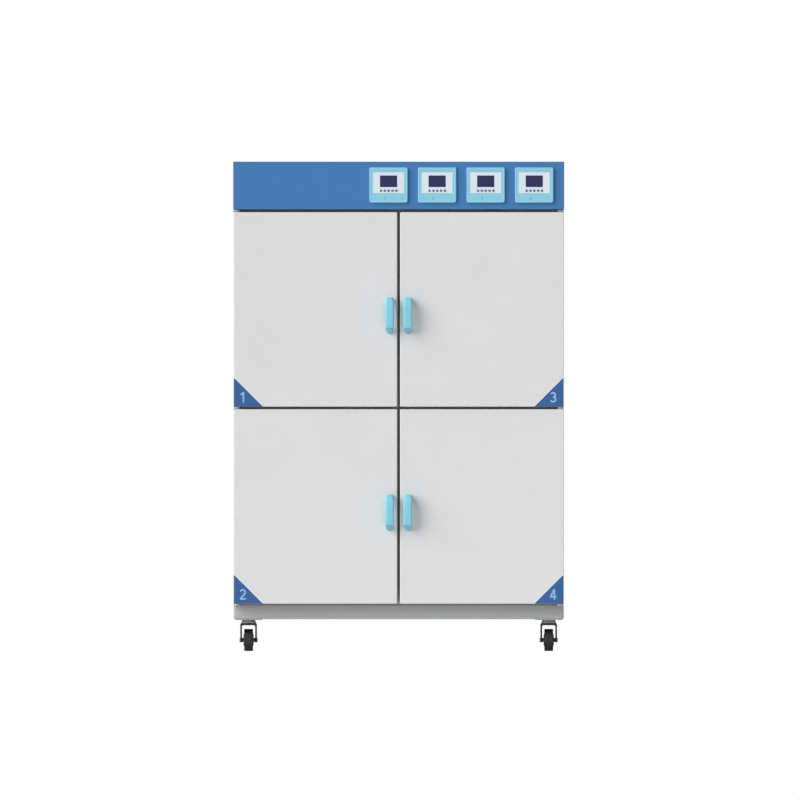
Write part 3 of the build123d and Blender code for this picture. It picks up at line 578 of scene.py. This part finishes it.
# Handles, seen from the side: a foot, a roll down to the bar, the bar, and a chin back to the door
HANDLE_FOOT, HANDLE_BAR, HANDLE_CHIN = 17 * MM, 13 * MM, 22 * MM
HANDLE_ROLL, ROLL_DROP = 22 * MM, 40 * MM
INNER_ROLL, INNER_DROP = 7 * MM, 25 * MM
TOP_CORNER, HANDLE_CORNER, CHIN_CORNER = 12 * MM, 4.5 * MM, 8 * MM
BACK_CORNER = 2.2 * MM
FRONT_STEPS, BACK_STEPS = 7, 4
CORNER_PACE = 1.3
ROUNDED_SHARE = 0.62
LEAST_FLAT = 0.5 * MM
# How far above the chin's top the bar's sections end outside and inside, and the chin starts inside
BAR_STOP, BAR_INNER_STOP, CHIN_INNER_START = 3 * MM, 8 * MM, 6.5 * MM
FOOT_SECTIONS, ROLL_SECTIONS, BAR_SECTIONS = 3, 12, 8
CHIN_SECTIONS = (0.03, 0.08, 0.2, 0.35, 0.5, 0.65, 0.78, 0.88, 0.95, 1.0)
CHIN_TAPER = 0.64


def handle_stations(low, high):
    """Sections down the bow: (y, z) outside and inside, corner radius, share of the width."""
    door_y, front_y = high.y, low.y
    bar_y = front_y + HANDLE_BAR
    inner_top = high.z - HANDLE_FOOT
    chin_top = low.z + HANDLE_CHIN
    stations = []
    for step in range(FOOT_SECTIONS):
        y = door_y + (front_y + HANDLE_ROLL - door_y) * step / FOOT_SECTIONS
        stations.append(((y, high.z), (y, inner_top), TOP_CORNER, 1.0))
    for step in range(ROLL_SECTIONS + 1):
        share = step / ROLL_SECTIONS
        turn = math.radians(90 + 90 * share)
        reach, drop = 1 + math.cos(turn), 1 - math.sin(turn)
        outer = (front_y + HANDLE_ROLL * reach, high.z - ROLL_DROP * drop)
        inner = (bar_y + INNER_ROLL * reach, inner_top - INNER_DROP * drop)
        tighter = (HANDLE_CORNER - TOP_CORNER) * min(1.0, share * CORNER_PACE)
        stations.append((outer, inner, TOP_CORNER + tighter, 1.0))
    outer_top, inner_start = high.z - ROLL_DROP, inner_top - INNER_DROP
    for step in range(1, BAR_SECTIONS):
        share = step / BAR_SECTIONS
        outer_z = outer_top + (chin_top + BAR_STOP - outer_top) * share
        inner_z = inner_start + (chin_top + BAR_INNER_STOP - inner_start) * share
        stations.append(((front_y, outer_z), (bar_y, inner_z), HANDLE_CORNER, 1.0))
    outer_start = Vector((front_y, chin_top))
    inner_start = Vector((bar_y, chin_top + CHIN_INNER_START))
    outer_run = Vector((door_y, low.z)) - outer_start
    inner_run = Vector((door_y, low.z + HANDLE_FOOT)) - inner_start
    for share in CHIN_SECTIONS:
        outer, inner = outer_start + outer_run * share, inner_start + inner_run * share
        corner = HANDLE_CORNER + (CHIN_CORNER - HANDLE_CORNER) * share
        stations.append((tuple(outer), tuple(inner), corner, math.sqrt(1 - CHIN_TAPER * share**3)))
    return stations


def handle_ring(middle_x, half_width, station):
    """One closed section of the handle, rounder in front than behind."""
    outer, inner, corner, share = station
    half = half_width * share
    start = Vector((middle_x, *outer))
    inward = Vector((middle_x, *inner)) - start
    thickness = inward.length
    inward.normalize()
    front = min(corner, thickness * ROUNDED_SHARE, half - LEAST_FLAT)
    back = min(BACK_CORNER, thickness - front)
    outline = arc((half - front, front), front, -90, 0, FRONT_STEPS)
    outline += arc((half - back, thickness - back), back, 0, 90, BACK_STEPS)
    outline += arc((back - half, thickness - back), back, 90, 180, BACK_STEPS)
    outline += arc((front - half, front), front, 180, 270, FRONT_STEPS)
    return [start + Vector((x, 0, 0)) + inward * depth for x, depth in outline]


def add_handles():
    """Bow handles in place of the plain ones, with the rounding that a moulding has."""
    for number in CHAMBERS:
        node = f"door_handle_{number}"
        low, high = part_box(node)
        middle_x, half = (low.x + high.x) / 2, (high.x - low.x) / 2
        rings = [handle_ring(middle_x, half, station) for station in handle_stations(low, high)]
        piece = draw_piece(
            f"bow_handle_{number}", lambda made: skin(made, rings),
            f"door_{number}", "handle_plastic", 40,
        )
        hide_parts(node)


# Controller housings: rounded plates with a raised rim round a recess for the faceplate, and
# a box behind. The half sizes are in x and z, and the lifts are over the plate's middle.
BEZEL_HALF = Vector((65 * MM, 60 * MM))
BEZEL_TOP_CORNER, BEZEL_FOOT_CORNER = 4.5 * MM, 8 * MM
BEZEL_DEPTH = 9 * MM
BEZEL_EDGE = 2.6 * MM
BEZEL_RIM, BEZEL_RIM_WIDTH = 0.5 * MM, 5.5 * MM
EDGE_SECTIONS, RIM_SECTIONS = 5, 4
RECESS_HALF = Vector((51.5 * MM, 36 * MM))
RECESS_CORNER, RECESS_DEPTH, RECESS_LIFT = 2.5 * MM, 1.2 * MM, 8 * MM
CHAMFER_WIDTH, CHAMFER_DEPTH = 0.7 * MM, 0.5 * MM
HOUSING_HALF = Vector((51 * MM, 47 * MM))
HOUSING_CORNER, HOUSING_DEPTH, HOUSING_LIFT = 3 * MM, 34 * MM, 5 * MM
KEY_DROP = 19 * MM


def bezel_rings(place):
    """Rings of one housing, from the end of its box inside the fascia to its recess's floor."""
    def ring(outline, y, lift=0.0):
        return [place + Vector((x, y, z + lift)) for x, z in outline]

    def plate(y, inset=0.0):
        corners = (BEZEL_TOP_CORNER, BEZEL_FOOT_CORNER)
        return ring(rounded_outline(BEZEL_HALF, *corners, inset), y)

    def recess(y, inset=0.0):
        outline = rounded_outline(RECESS_HALF, RECESS_CORNER, RECESS_CORNER, inset)
        return ring(outline, y, RECESS_LIFT)

    box = rounded_outline(HOUSING_HALF, HOUSING_CORNER, HOUSING_CORNER)
    rings = [ring(box, HOUSING_DEPTH, HOUSING_LIFT), ring(box, 0.0, HOUSING_LIFT), plate(0.0)]
    face = -BEZEL_DEPTH
    for step in range(EDGE_SECTIONS + 1):
        turn = math.radians(90 * step / EDGE_SECTIONS)
        y = face + BEZEL_EDGE - BEZEL_RIM - BEZEL_EDGE * math.sin(turn)
        rings.append(plate(y, BEZEL_EDGE * (1 - math.cos(turn))))
    for step in range(RIM_SECTIONS):
        share = (step + 1) / RIM_SECTIONS
        y = face - BEZEL_RIM * (1 + math.cos(math.pi * share)) / 2
        rings.append(plate(y, BEZEL_EDGE + (BEZEL_RIM_WIDTH - BEZEL_EDGE) * share))
    rings.append(recess(face, -CHAMFER_WIDTH))
    rings.append(recess(face + CHAMFER_DEPTH))
    rings.append(recess(face + RECESS_DEPTH))
    return rings


def add_bezels():
    """The four controller housings in place of the plain ones."""
    fascia_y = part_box("controller_bezels")[0].y + BEZEL_DEPTH

    def build(made):
        for place in places_from(MIDDLE_KEYS, fascia_y, [(0.0, KEY_DROP)]):
            skin(made, bezel_rings(place))

    piece = draw_piece("controller_housings", build, "cabinet", "bezel_plastic", 35)
    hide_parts("controller_bezels")


# Display frames: the lift is over the middle key
DISPLAY_HALF = Vector((29 * MM, 19.5 * MM))
DISPLAY_CORNER, DISPLAY_BORDER = 1.2 * MM, 1.7 * MM
DISPLAY_LIFT = 32 * MM
DISPLAY_PROUD, DISPLAY_SHEET = 0.25 * MM, 0.3 * MM


def add_display_frames():
    """A thin dark border round each display window."""
    front_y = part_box("lcd_screens")[0].y - DISPLAY_PROUD
    outer, inner = [
        rounded_outline(DISPLAY_HALF, DISPLAY_CORNER, DISPLAY_CORNER, inset, steps=4)
        for inset in (0.0, DISPLAY_BORDER)
    ]

    def build(made):
        for place in places_from(MIDDLE_KEYS, front_y, [(0.0, DISPLAY_LIFT)]):
            slab(made, outer, place, DISPLAY_SHEET, (inner,))

    draw_piece("display_frames", build, "cabinet", "display_border", 30)


# Shelves: the rises are over the middle of the chamber's door, and the seat and the chamfer are
# shares of a wire's radius
SHELF_HALF = 213 * MM
SHELF_FRONT, SHELF_REAR = -265 * MM, 95 * MM
SHELF_RISES = (-124.7 * MM, 85.3 * MM)
SHELF_CORNER = 12 * MM
FRAME_WIRE, CROSS_WIRE, GRID_WIRE = 3 * MM, 2.5 * MM, 1.5 * MM
FRAME_SIDES, CROSS_SIDES, GRID_SIDES = 12, 10, 8
CROSS_OFFSET = 65 * MM
GRID_PITCH, GRID_COUNT = 29 * MM, 14
WIRE_SEAT = 0.8
WIRE_CHAMFER = 0.35


def hoop(made, points, radius, sides):
    """A round wire along a closed line of points in one level plane."""
    rings = []
    for index, point in enumerate(points):
        along = (points[(index + 1) % len(points)] - points[index - 1]).normalized()
        across = Vector((along.y, -along.x, 0))
        rings.append(circle_points(point, radius, across, UP, sides))
    skin(made, rings, closed=True)


def rod(made, start, end, radius, sides):
    """A straight level wire with a small chamfer on each end."""
    along = (end - start).normalized()
    across = Vector((along.y, -along.x, 0))
    bevel = WIRE_CHAMFER * radius
    sections = (
        (start, radius - bevel),
        (start + along * bevel, radius),
        (end - along * bevel, radius),
        (end, radius - bevel),
    )
    skin(made, [circle_points(place, wide, across, UP, sides) for place, wide in sections])


def add_shelf(made, place):
    """One shelf: a bent frame, two cross wires in its plane and a grid of thin wires on top."""
    half_depth = (SHELF_REAR - SHELF_FRONT) / 2
    half = Vector((SHELF_HALF - FRAME_WIRE, half_depth - FRAME_WIRE))
    corner = SHELF_CORNER - FRAME_WIRE
    outline = rounded_outline(half, corner, corner)
    level = place + UP * FRAME_WIRE
    hoop(made, [level + Vector((x, y, 0)) for x, y in outline], FRAME_WIRE, FRAME_SIDES)
    for y in (-CROSS_OFFSET, CROSS_OFFSET):
        left, right = [level + Vector((x, y, 0)) for x in (-half.x, half.x)]
        rod(made, left, right, CROSS_WIRE, CROSS_SIDES)
    top = place + UP * (2 * FRAME_WIRE + GRID_WIRE * WIRE_SEAT)
    reach = half_depth - FRAME_WIRE * WIRE_SEAT
    for index in range(GRID_COUNT):
        x = (index - (GRID_COUNT - 1) / 2) * GRID_PITCH
        near, far = [top + Vector((x, y, 0)) for y in (-reach, reach)]
        rod(made, near, far, GRID_WIRE, GRID_SIDES)


def add_shelves():
    """Eight shelves of round wire in place of the plain grids."""
    middle_y = (SHELF_FRONT + SHELF_REAR) / 2

    def build(made):
        for place in places_from(DOORS, middle_y, [(0.0, rise) for rise in SHELF_RISES]):
            add_shelf(made, place)

    piece = draw_piece("round_wire_shelves", build, "cabinet", "bright_wire", 50)
    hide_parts("wire_shelves")


# Hooded louvres: two columns of rows behind each chamber
REAR_Y = 360 * MM
LOUVRE_COLUMNS = (-65 * MM, 65 * MM)
LOUVRE_ROWS = [(row - 2.5) * 16 * MM for row in range(6)]
HOOD_HALF = 49 * MM
HOOD_RISE, HOOD_DROP = 6.5 * MM, 4.2 * MM
HOOD_DEPTH, HOOD_SHEET, HOOD_SINK = 6 * MM, 1.2 * MM, 0.2 * MM
HOOD_COLUMNS, HOOD_ROWS = 14, 5


def hood_grid(place, depth):
    """Points over a pressed hood: flush with the panel on top and at its ends, open below."""
    grid = []
    for column in range(HOOD_COLUMNS + 1):
        across = -math.cos(math.pi * column / HOOD_COLUMNS)
        swell = (1 - abs(across) ** 3) ** 0.5 if abs(across) < 1 else 0.0
        line = []
        for row in range(HOOD_ROWS + 1):
            turn = math.radians(90 * row / HOOD_ROWS)
            z = HOOD_RISE - (HOOD_RISE + HOOD_DROP) * (1 - math.cos(turn))
            line.append(place + Vector((across * HOOD_HALF, depth * swell * math.sin(turn), z)))
        grid.append(line)
    return grid


def add_hood(made, place):
    """One hood as a closed sheet."""
    outside = vertex_lines(made, hood_grid(place, HOOD_DEPTH))
    inside = vertex_lines(made, hood_grid(place - BACK * HOOD_SINK, HOOD_DEPTH - HOOD_SHEET))
    layers = (outside, inside)
    for column in range(HOOD_COLUMNS):
        for row in range(HOOD_ROWS):
            for layer in layers:
                here, beside = layer[column], layer[column + 1]
                corners = (here[row], beside[row], beside[row + 1], here[row + 1])
                if len({tuple(corner.co) for corner in corners}) > 2:
                    made.faces.new(corners)
        for row in (0, HOOD_ROWS):
            strip(made, *[(layer[column][row], layer[column + 1][row]) for layer in layers])
    for column in (0, HOOD_COLUMNS):
        strip(made, outside[column], inside[column])


def add_louvres():
    """A hood over every slot of the rear panel."""
    offsets = [(x, z) for x in LOUVRE_COLUMNS for z in LOUVRE_ROWS]

    def build(made):
        for place in places_from(DOORS, REAR_Y, offsets):
            add_hood(made, place)

    draw_piece("louvre_hoods", build, "cabinet", "shell_paint", 40)


# Pan-head screws. Shares of the radius: the height and the cross's arm and half width. The
# sections are shares of radius and height. The cross's depth is a share of the height, and its
# floor one of its rim.
HEAD_HEIGHT = 0.55
HEAD_SECTIONS = ((1.0, 0.0), (1.0, 0.35), (0.94, 0.66), (0.8, 0.87), (0.62, 0.98))
HEAD_SIDES = 20
DRIVE_ARM, DRIVE_HALF = 0.5, 0.13
DRIVE_DEPTH, DRIVE_FLOOR = 0.6, 0.7


def pan_head(made, place, out, radius):
    """A pan-head screw with a cross recess."""
    across = out.orthogonal().normalized()
    up = out.cross(across)
    height = radius * HEAD_HEIGHT
    loops = vertex_lines(made, [
        circle_points(place + out * height * level, radius * share, across, up, HEAD_SIDES)
        for share, level in HEAD_SECTIONS
    ])
    for below, above in zip(loops, loops[1:]):
        strip(made, below, above, closed=True)
    made.faces.new(loops[0][::-1])
    arm, half = radius * DRIVE_ARM, radius * DRIVE_HALF
    cross = [
        (arm, -half), (arm, half), (half, half), (half, arm), (-half, arm), (-half, half),
        (-arm, half), (-arm, -half), (-half, -half), (-half, -arm), (half, -arm), (half, -half),
    ]
    top = place + out * height * HEAD_SECTIONS[-1][1]
    bottom = top - out * height * DRIVE_DEPTH
    rim, floor = vertex_lines(made, [
        [top + x * across + y * up for x, y in cross],
        [bottom + DRIVE_FLOOR * (x * across + y * up) for x, y in cross],
    ])
    edges = loop_edges(made, loops[-1]) + loop_edges(made, rim)
    bmesh.ops.triangle_fill(made, use_beauty=True, use_dissolve=False, edges=edges)
    strip(made, rim, floor, closed=True)
    made.faces.new(floor)


def add_screw_set(name, body, places, out, radius):
    """Screws of one size on one body, as one piece."""
    def build(made):
        for place in places:
            pan_head(made, place, out, radius)

    draw_piece(name, build, body, "screw_steel", 35)


# Screws: the radii of their heads, then their places, in x and z from the middle of a door for
# the plenum covers and the doors' plates, and else from the edges of what they hold
REAR_SCREW, CASTER_SCREW, COVER_SCREW, PLATE_SCREW = 4.6 * MM, 4.3 * MM, 3.6 * MM, 3.6 * MM
BRACKET_SCREW, CATCH_SCREW, COLLAR_SCREW = 3.4 * MM, 2.4 * MM, 2.4 * MM
REAR_SCREW_EDGE, REAR_SCREW_ROWS = 13 * MM, 7
REAR_SCREW_COLUMNS = [column * 182 * MM for column in range(-2, 3)]
COVER_SCREWS = [(x * MM, z * MM) for x in (-197, 197) for z in (-247, 0, 247)]
CASTER_HOLES_X = (9 * MM, 83 * MM)
CASTER_HOLES_Y = (11.5 * MM, 73.5 * MM)
CASTER_SCREW_PROUD = 0.3 * MM
PLATE_SHEET = 1.5 * MM
PLATE_SCREWS = [(x * MM, z * MM) for x in (-260, 260) for z in (-290, -150, 150, 290)]
PLATE_SCREWS += [(x * MM, z * MM) for z in (-311, 311) for x in (-130, 0, 130)]


def rear_screws():
    low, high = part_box("rear_panel")
    left, right = low.x + REAR_SCREW_EDGE, high.x - REAR_SCREW_EDGE
    foot, head = low.z + REAR_SCREW_EDGE, high.z - REAR_SCREW_EDGE
    places = []
    for row in range(REAR_SCREW_ROWS):
        z = foot + (head - foot) * row / (REAR_SCREW_ROWS - 1)
        places += [Vector((x, REAR_Y, z)) for x in (left, right)]
    for x in REAR_SCREW_COLUMNS:
        places += [Vector((x, REAR_Y, z)) for z in (foot, head)]
    return places


def caster_screws():
    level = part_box("base_frame")[0].z - CASTER_SCREW_PROUD
    low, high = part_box("caster_plates")
    return [
        Vector((corner_x + way_x * x, corner_y + way_y * y, level))
        for corner_x, way_x in ((low.x, 1), (high.x, -1))
        for corner_y, way_y in ((low.y, 1), (high.y, -1))
        for x in CASTER_HOLES_X for y in CASTER_HOLES_Y
    ]


def add_screws():
    """Screws of the rear panel, the plenum covers, the caster plates and the inner door plates."""
    covers = places_from(DOORS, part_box("air_baffles")[0].y, COVER_SCREWS)
    add_screw_set("rear_panel_screws", "cabinet", rear_screws(), BACK, REAR_SCREW)
    add_screw_set("plenum_cover_screws", "cabinet", covers, FRONT, COVER_SCREW)
    add_screw_set("caster_screws", "cabinet", caster_screws(), DOWN, CASTER_SCREW)
    for number, door in zip(CHAMBERS, DOORS):
        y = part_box(door)[1].y + PLATE_SHEET
        places = places_from([f"door_inner_plate_{number}"], y, PLATE_SCREWS)
        add_screw_set(f"door_{number}_plate_screws", f"door_{number}", places, BACK, PLATE_SCREW)


# Hinge brackets: the undersides of their plates with the ways their tabs point, their sizes and
# the screws' places on a tab. Catches: their offset from the oven's middle, how far they stand
# out from the frame, their screws and their pole strips.
BRACKETS = ((154 * MM, (1,)), (822.25 * MM, (-1, 1)), (1491.25 * MM, (-1,)))
BRACKET_WIDTH, BRACKET_PLATE, BRACKET_TAB = 22 * MM, 4 * MM, 3 * MM
TAB_SCREWS = (7 * MM, 19 * MM)
CATCH_OFFSET, CATCH_DEPTH = 21 * MM, 7.7 * MM
CATCH_SCREW_RISES, CATCH_SCREW_SINK = (-19 * MM, 19 * MM), 1.12 * MM
POLE_OFFSETS = (-3 * MM, 3 * MM)
POLE_HALF = Vector((1.2 * MM, 13 * MM))
POLE_CORNER, POLE_PROUD, POLE_SHEET = 0.5 * MM, 0.2 * MM, 0.6 * MM


def add_hinge_screws():
    """Screws through the brackets' tabs and the magnetic catches, and the catches' pole strips."""
    frame_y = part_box("cabinet_shell")[0].y
    low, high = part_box("door_hardware")
    tabs = []
    for x in (low.x + BRACKET_WIDTH / 2, high.x - BRACKET_WIDTH / 2):
        for z, ways in BRACKETS:
            for way in ways:
                edge = z + max(0, way) * BRACKET_PLATE
                for reach in TAB_SCREWS:
                    tabs.append(Vector((x, frame_y - BRACKET_TAB, edge + way * reach)))
    add_screw_set("bracket_screws", "cabinet", tabs, FRONT, BRACKET_SCREW)

    catch_y = frame_y - CATCH_DEPTH
    heads, poles = [], []
    for number in CHAMBERS:
        x, z = SIDE[number] * CATCH_OFFSET, centre_of(f"door_handle_{number}").z
        heads += [Vector((x, catch_y + CATCH_SCREW_SINK, z + rise)) for rise in CATCH_SCREW_RISES]
        poles += [Vector((x + offset, catch_y - POLE_PROUD, z)) for offset in POLE_OFFSETS]
    add_screw_set("catch_screws", "cabinet", heads, FRONT, CATCH_SCREW)
    outline = rounded_outline(POLE_HALF, POLE_CORNER, POLE_CORNER, steps=3)

    def build(made):
        for place in poles:
            slab(made, outline, place, POLE_SHEET)

    draw_piece("catch_pole_strips", build, "cabinet", "screw_steel", 35)


# Caster axles: the fork's boss and plain head, then a washer and a hexagon, each as its sides and
# its sections, in pairs of a radius and a distance out
FORK_BOSS, FORK_HEAD = 8.5 * MM, 2 * MM
AXLE_WASHER, WASHER_SHEET = 8.2 * MM, 0.7 * MM
AXLE_HEXAGON, HEXAGON_HEIGHT = 7.1 * MM, 2.2 * MM
AXLE_FORMS = (
    (28, (
        (AXLE_WASHER, 0.0),
        (AXLE_WASHER, WASHER_SHEET * 0.6),
        (AXLE_WASHER - WASHER_SHEET * 0.4, WASHER_SHEET),
    )),
    (6, (
        (AXLE_HEXAGON, WASHER_SHEET),
        (AXLE_HEXAGON, WASHER_SHEET + HEXAGON_HEIGHT * 0.75),
        (AXLE_HEXAGON * 0.86, WASHER_SHEET + HEXAGON_HEIGHT),
    )),
)


def add_axle_heads():
    """Zinc-plated washers and bolt heads over the plain ends of the casters' axles."""
    for number in CHAMBERS:
        low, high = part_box(f"caster_fork_{number}")

        def build(made):
            for x, out in ((low.x + FORK_HEAD, -RIGHT), (high.x - FORK_HEAD, RIGHT)):
                place = Vector((x, high.y - FORK_BOSS, low.z + FORK_BOSS))
                for sides, sections in AXLE_FORMS:
                    skin(made, [
                        circle_points(place + out * along, radius, BACK, UP, sides)
                        for radius, along in sections
                    ])

        name, body = f"caster_{number}_axle_heads", f"caster_{number}_swivel"
        draw_piece(name, build, body, "caster_zinc", 30)


# Exhausts: a collar on the panel with its screws and a bead at the pipe's end, both turned, as
# pairs of a radius and a distance behind the panel. The rise is over the door's middle.
EXHAUST_OFFSET, EXHAUST_RISE = 412.375 * MM, 190 * MM
COLLAR_SIDES, BEAD_SIDES = 48, 40
COLLAR_SHEET = 1.2 * MM
COLLAR = (
    (25.3 * MM, 0.0), (36 * MM, 0.0), (36 * MM, 0.72 * MM), (35.4 * MM, COLLAR_SHEET),
    (26.9 * MM, COLLAR_SHEET), (25.7 * MM, 2.6 * MM), (24.7 * MM, 2.6 * MM),
)
BEAD = arc((0.0, 0.0), 1.0, 0, 315, 7)
BEAD_RADIUS, BEAD_DEPTH = 24 * MM, 19 * MM
BEAD_HALF = Vector((0.9 * MM, 1.3 * MM))
COLLAR_SCREW_REACH = 31.5 * MM
COLLAR_SCREW_TURNS = (90, 210, 330)


def add_exhaust_collars():
    """A collar round each exhaust pipe with its screws, and a rolled bead at the pipe's end."""
    middles = []
    for number, door in zip(CHAMBERS, DOORS):
        z = centre_of(door).z + EXHAUST_RISE
        middles.append(Vector((SIDE[number] * EXHAUST_OFFSET, REAR_Y, z)))
    across = BACK.orthogonal().normalized()
    up = BACK.cross(across)

    def turned(profile, sides):
        def build(made):
            for middle in middles:
                skin(made, [
                    circle_points(middle + BACK * along, radius, across, up, sides)
                    for radius, along in profile
                ], closed=True)
        return build

    bead = [(BEAD_RADIUS + BEAD_HALF.x * x, BEAD_DEPTH + BEAD_HALF.y * y) for x, y in BEAD]
    draw_piece("exhaust_beads", turned(bead, BEAD_SIDES), "cabinet", "stainless", 40)
    draw_piece("exhaust_collars", turned(COLLAR, COLLAR_SIDES), "cabinet", "stainless", 35)
    places = []
    for middle in middles:
        for turn in map(math.radians, COLLAR_SCREW_TURNS):
            offset = Vector((math.cos(turn), 0, math.sin(turn))) * COLLAR_SCREW_REACH
            places.append(middle + offset + BACK * COLLAR_SHEET)
    add_screw_set("exhaust_collar_screws", "cabinet", places, BACK, COLLAR_SCREW)


# Cable gland: radius and distance behind the panel in millimetres, and the form of the outline
# there, from the nut's face on the panel's inside to the cap's mouth
ROUND, HEXAGON, RIBBED = "round", "hexagon", "ribbed"
GLAND_BORE, GLAND_NUT = 6 * MM, 13.6 * MM
GLAND_PROFILE = (
    (13.6, -1.5, HEXAGON), (10, -1.5, ROUND), (10, 0, ROUND), (14.4, 0, HEXAGON),
    (15, 0.7, HEXAGON), (15, 5.4, HEXAGON), (14.4, 6, HEXAGON), (11.4, 6.2, ROUND),
    (11.4, 7, ROUND), (12.3, 7.4, RIBBED), (12.3, 15.5, RIBBED), (11.6, 18.5, RIBBED),
    (9.8, 21.2, ROUND), (8.2, 22, ROUND), (7.4, 22, ROUND), (7, 20.6, ROUND), (6, 20.2, ROUND),
)
GLAND_SIDES = 144
GLAND_FLATS = 0.88
GLAND_RIBS, GLAND_RIB_DEPTH = 18, 0.45 * MM


def gland_reach(form, radius, angle):
    """How far the gland's outline is from its axis at an angle."""
    if form == HEXAGON:
        turn = (angle + math.pi / 6) % (math.pi / 3) - math.pi / 6
        return min(radius, radius * GLAND_FLATS / math.cos(turn))
    if form == RIBBED:
        return radius - GLAND_RIB_DEPTH * (1 - abs(math.cos(angle * GLAND_RIBS / 2)) ** 0.5)
    return radius


def add_gland():
    """The cable gland in place of the plain one, with its nut inside the panel."""
    low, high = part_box("cable_gland")
    place = Vector(((low.x + high.x) / 2, REAR_Y, (low.z + high.z) / 2))
    nut = low.y - REAR_Y
    profile = [(GLAND_BORE, nut, ROUND), (GLAND_NUT, nut, HEXAGON)]
    profile += [(radius * MM, along * MM, form) for radius, along, form in GLAND_PROFILE]
    rings = []
    for radius, along, form in profile:
        ring = []
        for side in range(GLAND_SIDES):
            angle = 2 * math.pi * side / GLAND_SIDES
            reach = gland_reach(form, radius, angle)
            outward = math.cos(angle) * RIGHT + math.sin(angle) * UP
            ring.append(place + BACK * along + reach * outward)
        rings.append(ring)
    piece = draw_piece(
        "ribbed_cable_gland", lambda made: skin(made, rings, closed=True),
        "cabinet", "gland_nylon", 30,
    )
    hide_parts("cable_gland")


# Light: the sky's strength as a light, then each sun's name, direction, angle and strength
WORLD_LIGHT = 0.225
SUNS = (
    ("key", (-1.4, -1.0, 0.85), 50.0, 2.98),
    ("fill", (0.5, -1.0, 0.9), 40.0, 0.24),
)
FLOOR_HALF = 40.0

# The photograph's frame: its width, its scale, and where the floor and the oven's middle lie
PHOTO_PIXELS = 800
METRES_PER_PIXEL = 0.003392
FLOOR_ROW = 651.0
CENTRE_COLUMN = 398.65
CAMERA_DISTANCE = 14.0


def add_floor():
    """A pale floor that catches the oven's shadow."""
    mesh = mesh_from("floor", lambda made: bmesh.ops.create_grid(
        made, x_segments=1, y_segments=1, size=FLOOR_HALF
    ))
    floor = new_object("floor", mesh)
    finish = Finish("floor_paint", srgb(236, 236, 236), 0.6)
    finish.mottle(finish.noise(500 * MM, detail=3), spread=0.01)
    mesh.materials.append(finish.material)


def add_world():
    """White as seen by the camera, in reflections and through glass, and a softer light."""
    world = bpy.data.worlds.new("studio")
    bpy.context.scene.world = world
    world.use_nodes = True
    tree = world.node_tree
    background = tree.nodes["Background"]
    background.inputs["Color"].default_value = (1, 1, 1, 1)
    path = tree.nodes.new("ShaderNodeLightPath")
    seen, *others = [
        path.outputs[f"Is {kind} Ray"] for kind in ("Camera", "Glossy", "Transmission")
    ]
    for ray in others:
        either = tree.nodes.new("ShaderNodeMath")
        either.operation = "MAXIMUM"
        tree.links.new(seen, either.inputs[0])
        tree.links.new(ray, either.inputs[1])
        seen = either.outputs["Value"]
    strength = tree.nodes.new("ShaderNodeMapRange")
    tree.links.new(seen, strength.inputs["Value"])
    strength.inputs["To Min"].default_value = WORLD_LIGHT
    strength.inputs["To Max"].default_value = 1.0
    tree.links.new(strength.outputs["Result"], background.inputs["Strength"])


def add_lamps():
    """A key light from the upper left and a weak fill from the right, both far away."""
    for name, towards, angle, strength in SUNS:
        lamp = bpy.data.lights.new(name, "SUN")
        lamp.angle = math.radians(angle)
        lamp.energy = strength
        holder = new_object(name, lamp)
        holder.location = towards
        holder.rotation_euler = (-Vector(towards)).to_track_quat("-Z", "Y").to_euler()


def add_camera():
    """A level view straight at the doors, without perspective, on the photograph's frame."""
    camera = bpy.data.cameras.new("camera")
    camera.type = "ORTHO"
    camera.ortho_scale = PHOTO_PIXELS * METRES_PER_PIXEL
    holder = new_object("camera", camera)
    middle = PHOTO_PIXELS / 2
    holder.location = (
        (middle - CENTRE_COLUMN) * METRES_PER_PIXEL,
        -CAMERA_DISTANCE,
        (FLOOR_ROW - middle) * METRES_PER_PIXEL,
    )
    holder.rotation_euler = (math.radians(90), 0, 0)
    bpy.context.scene.camera = holder


paint_nodes()
add_door_badges()
add_controller_numbers()
add_handles()
add_bezels()
add_display_frames()
add_shelves()
add_louvres()
add_screws()
add_hinge_screws()
add_axle_heads()
add_exhaust_collars()
add_gland()
add_floor()
add_world()
add_lamps()
add_camera()
bpy.context.scene.view_settings.view_transform = "Standard"
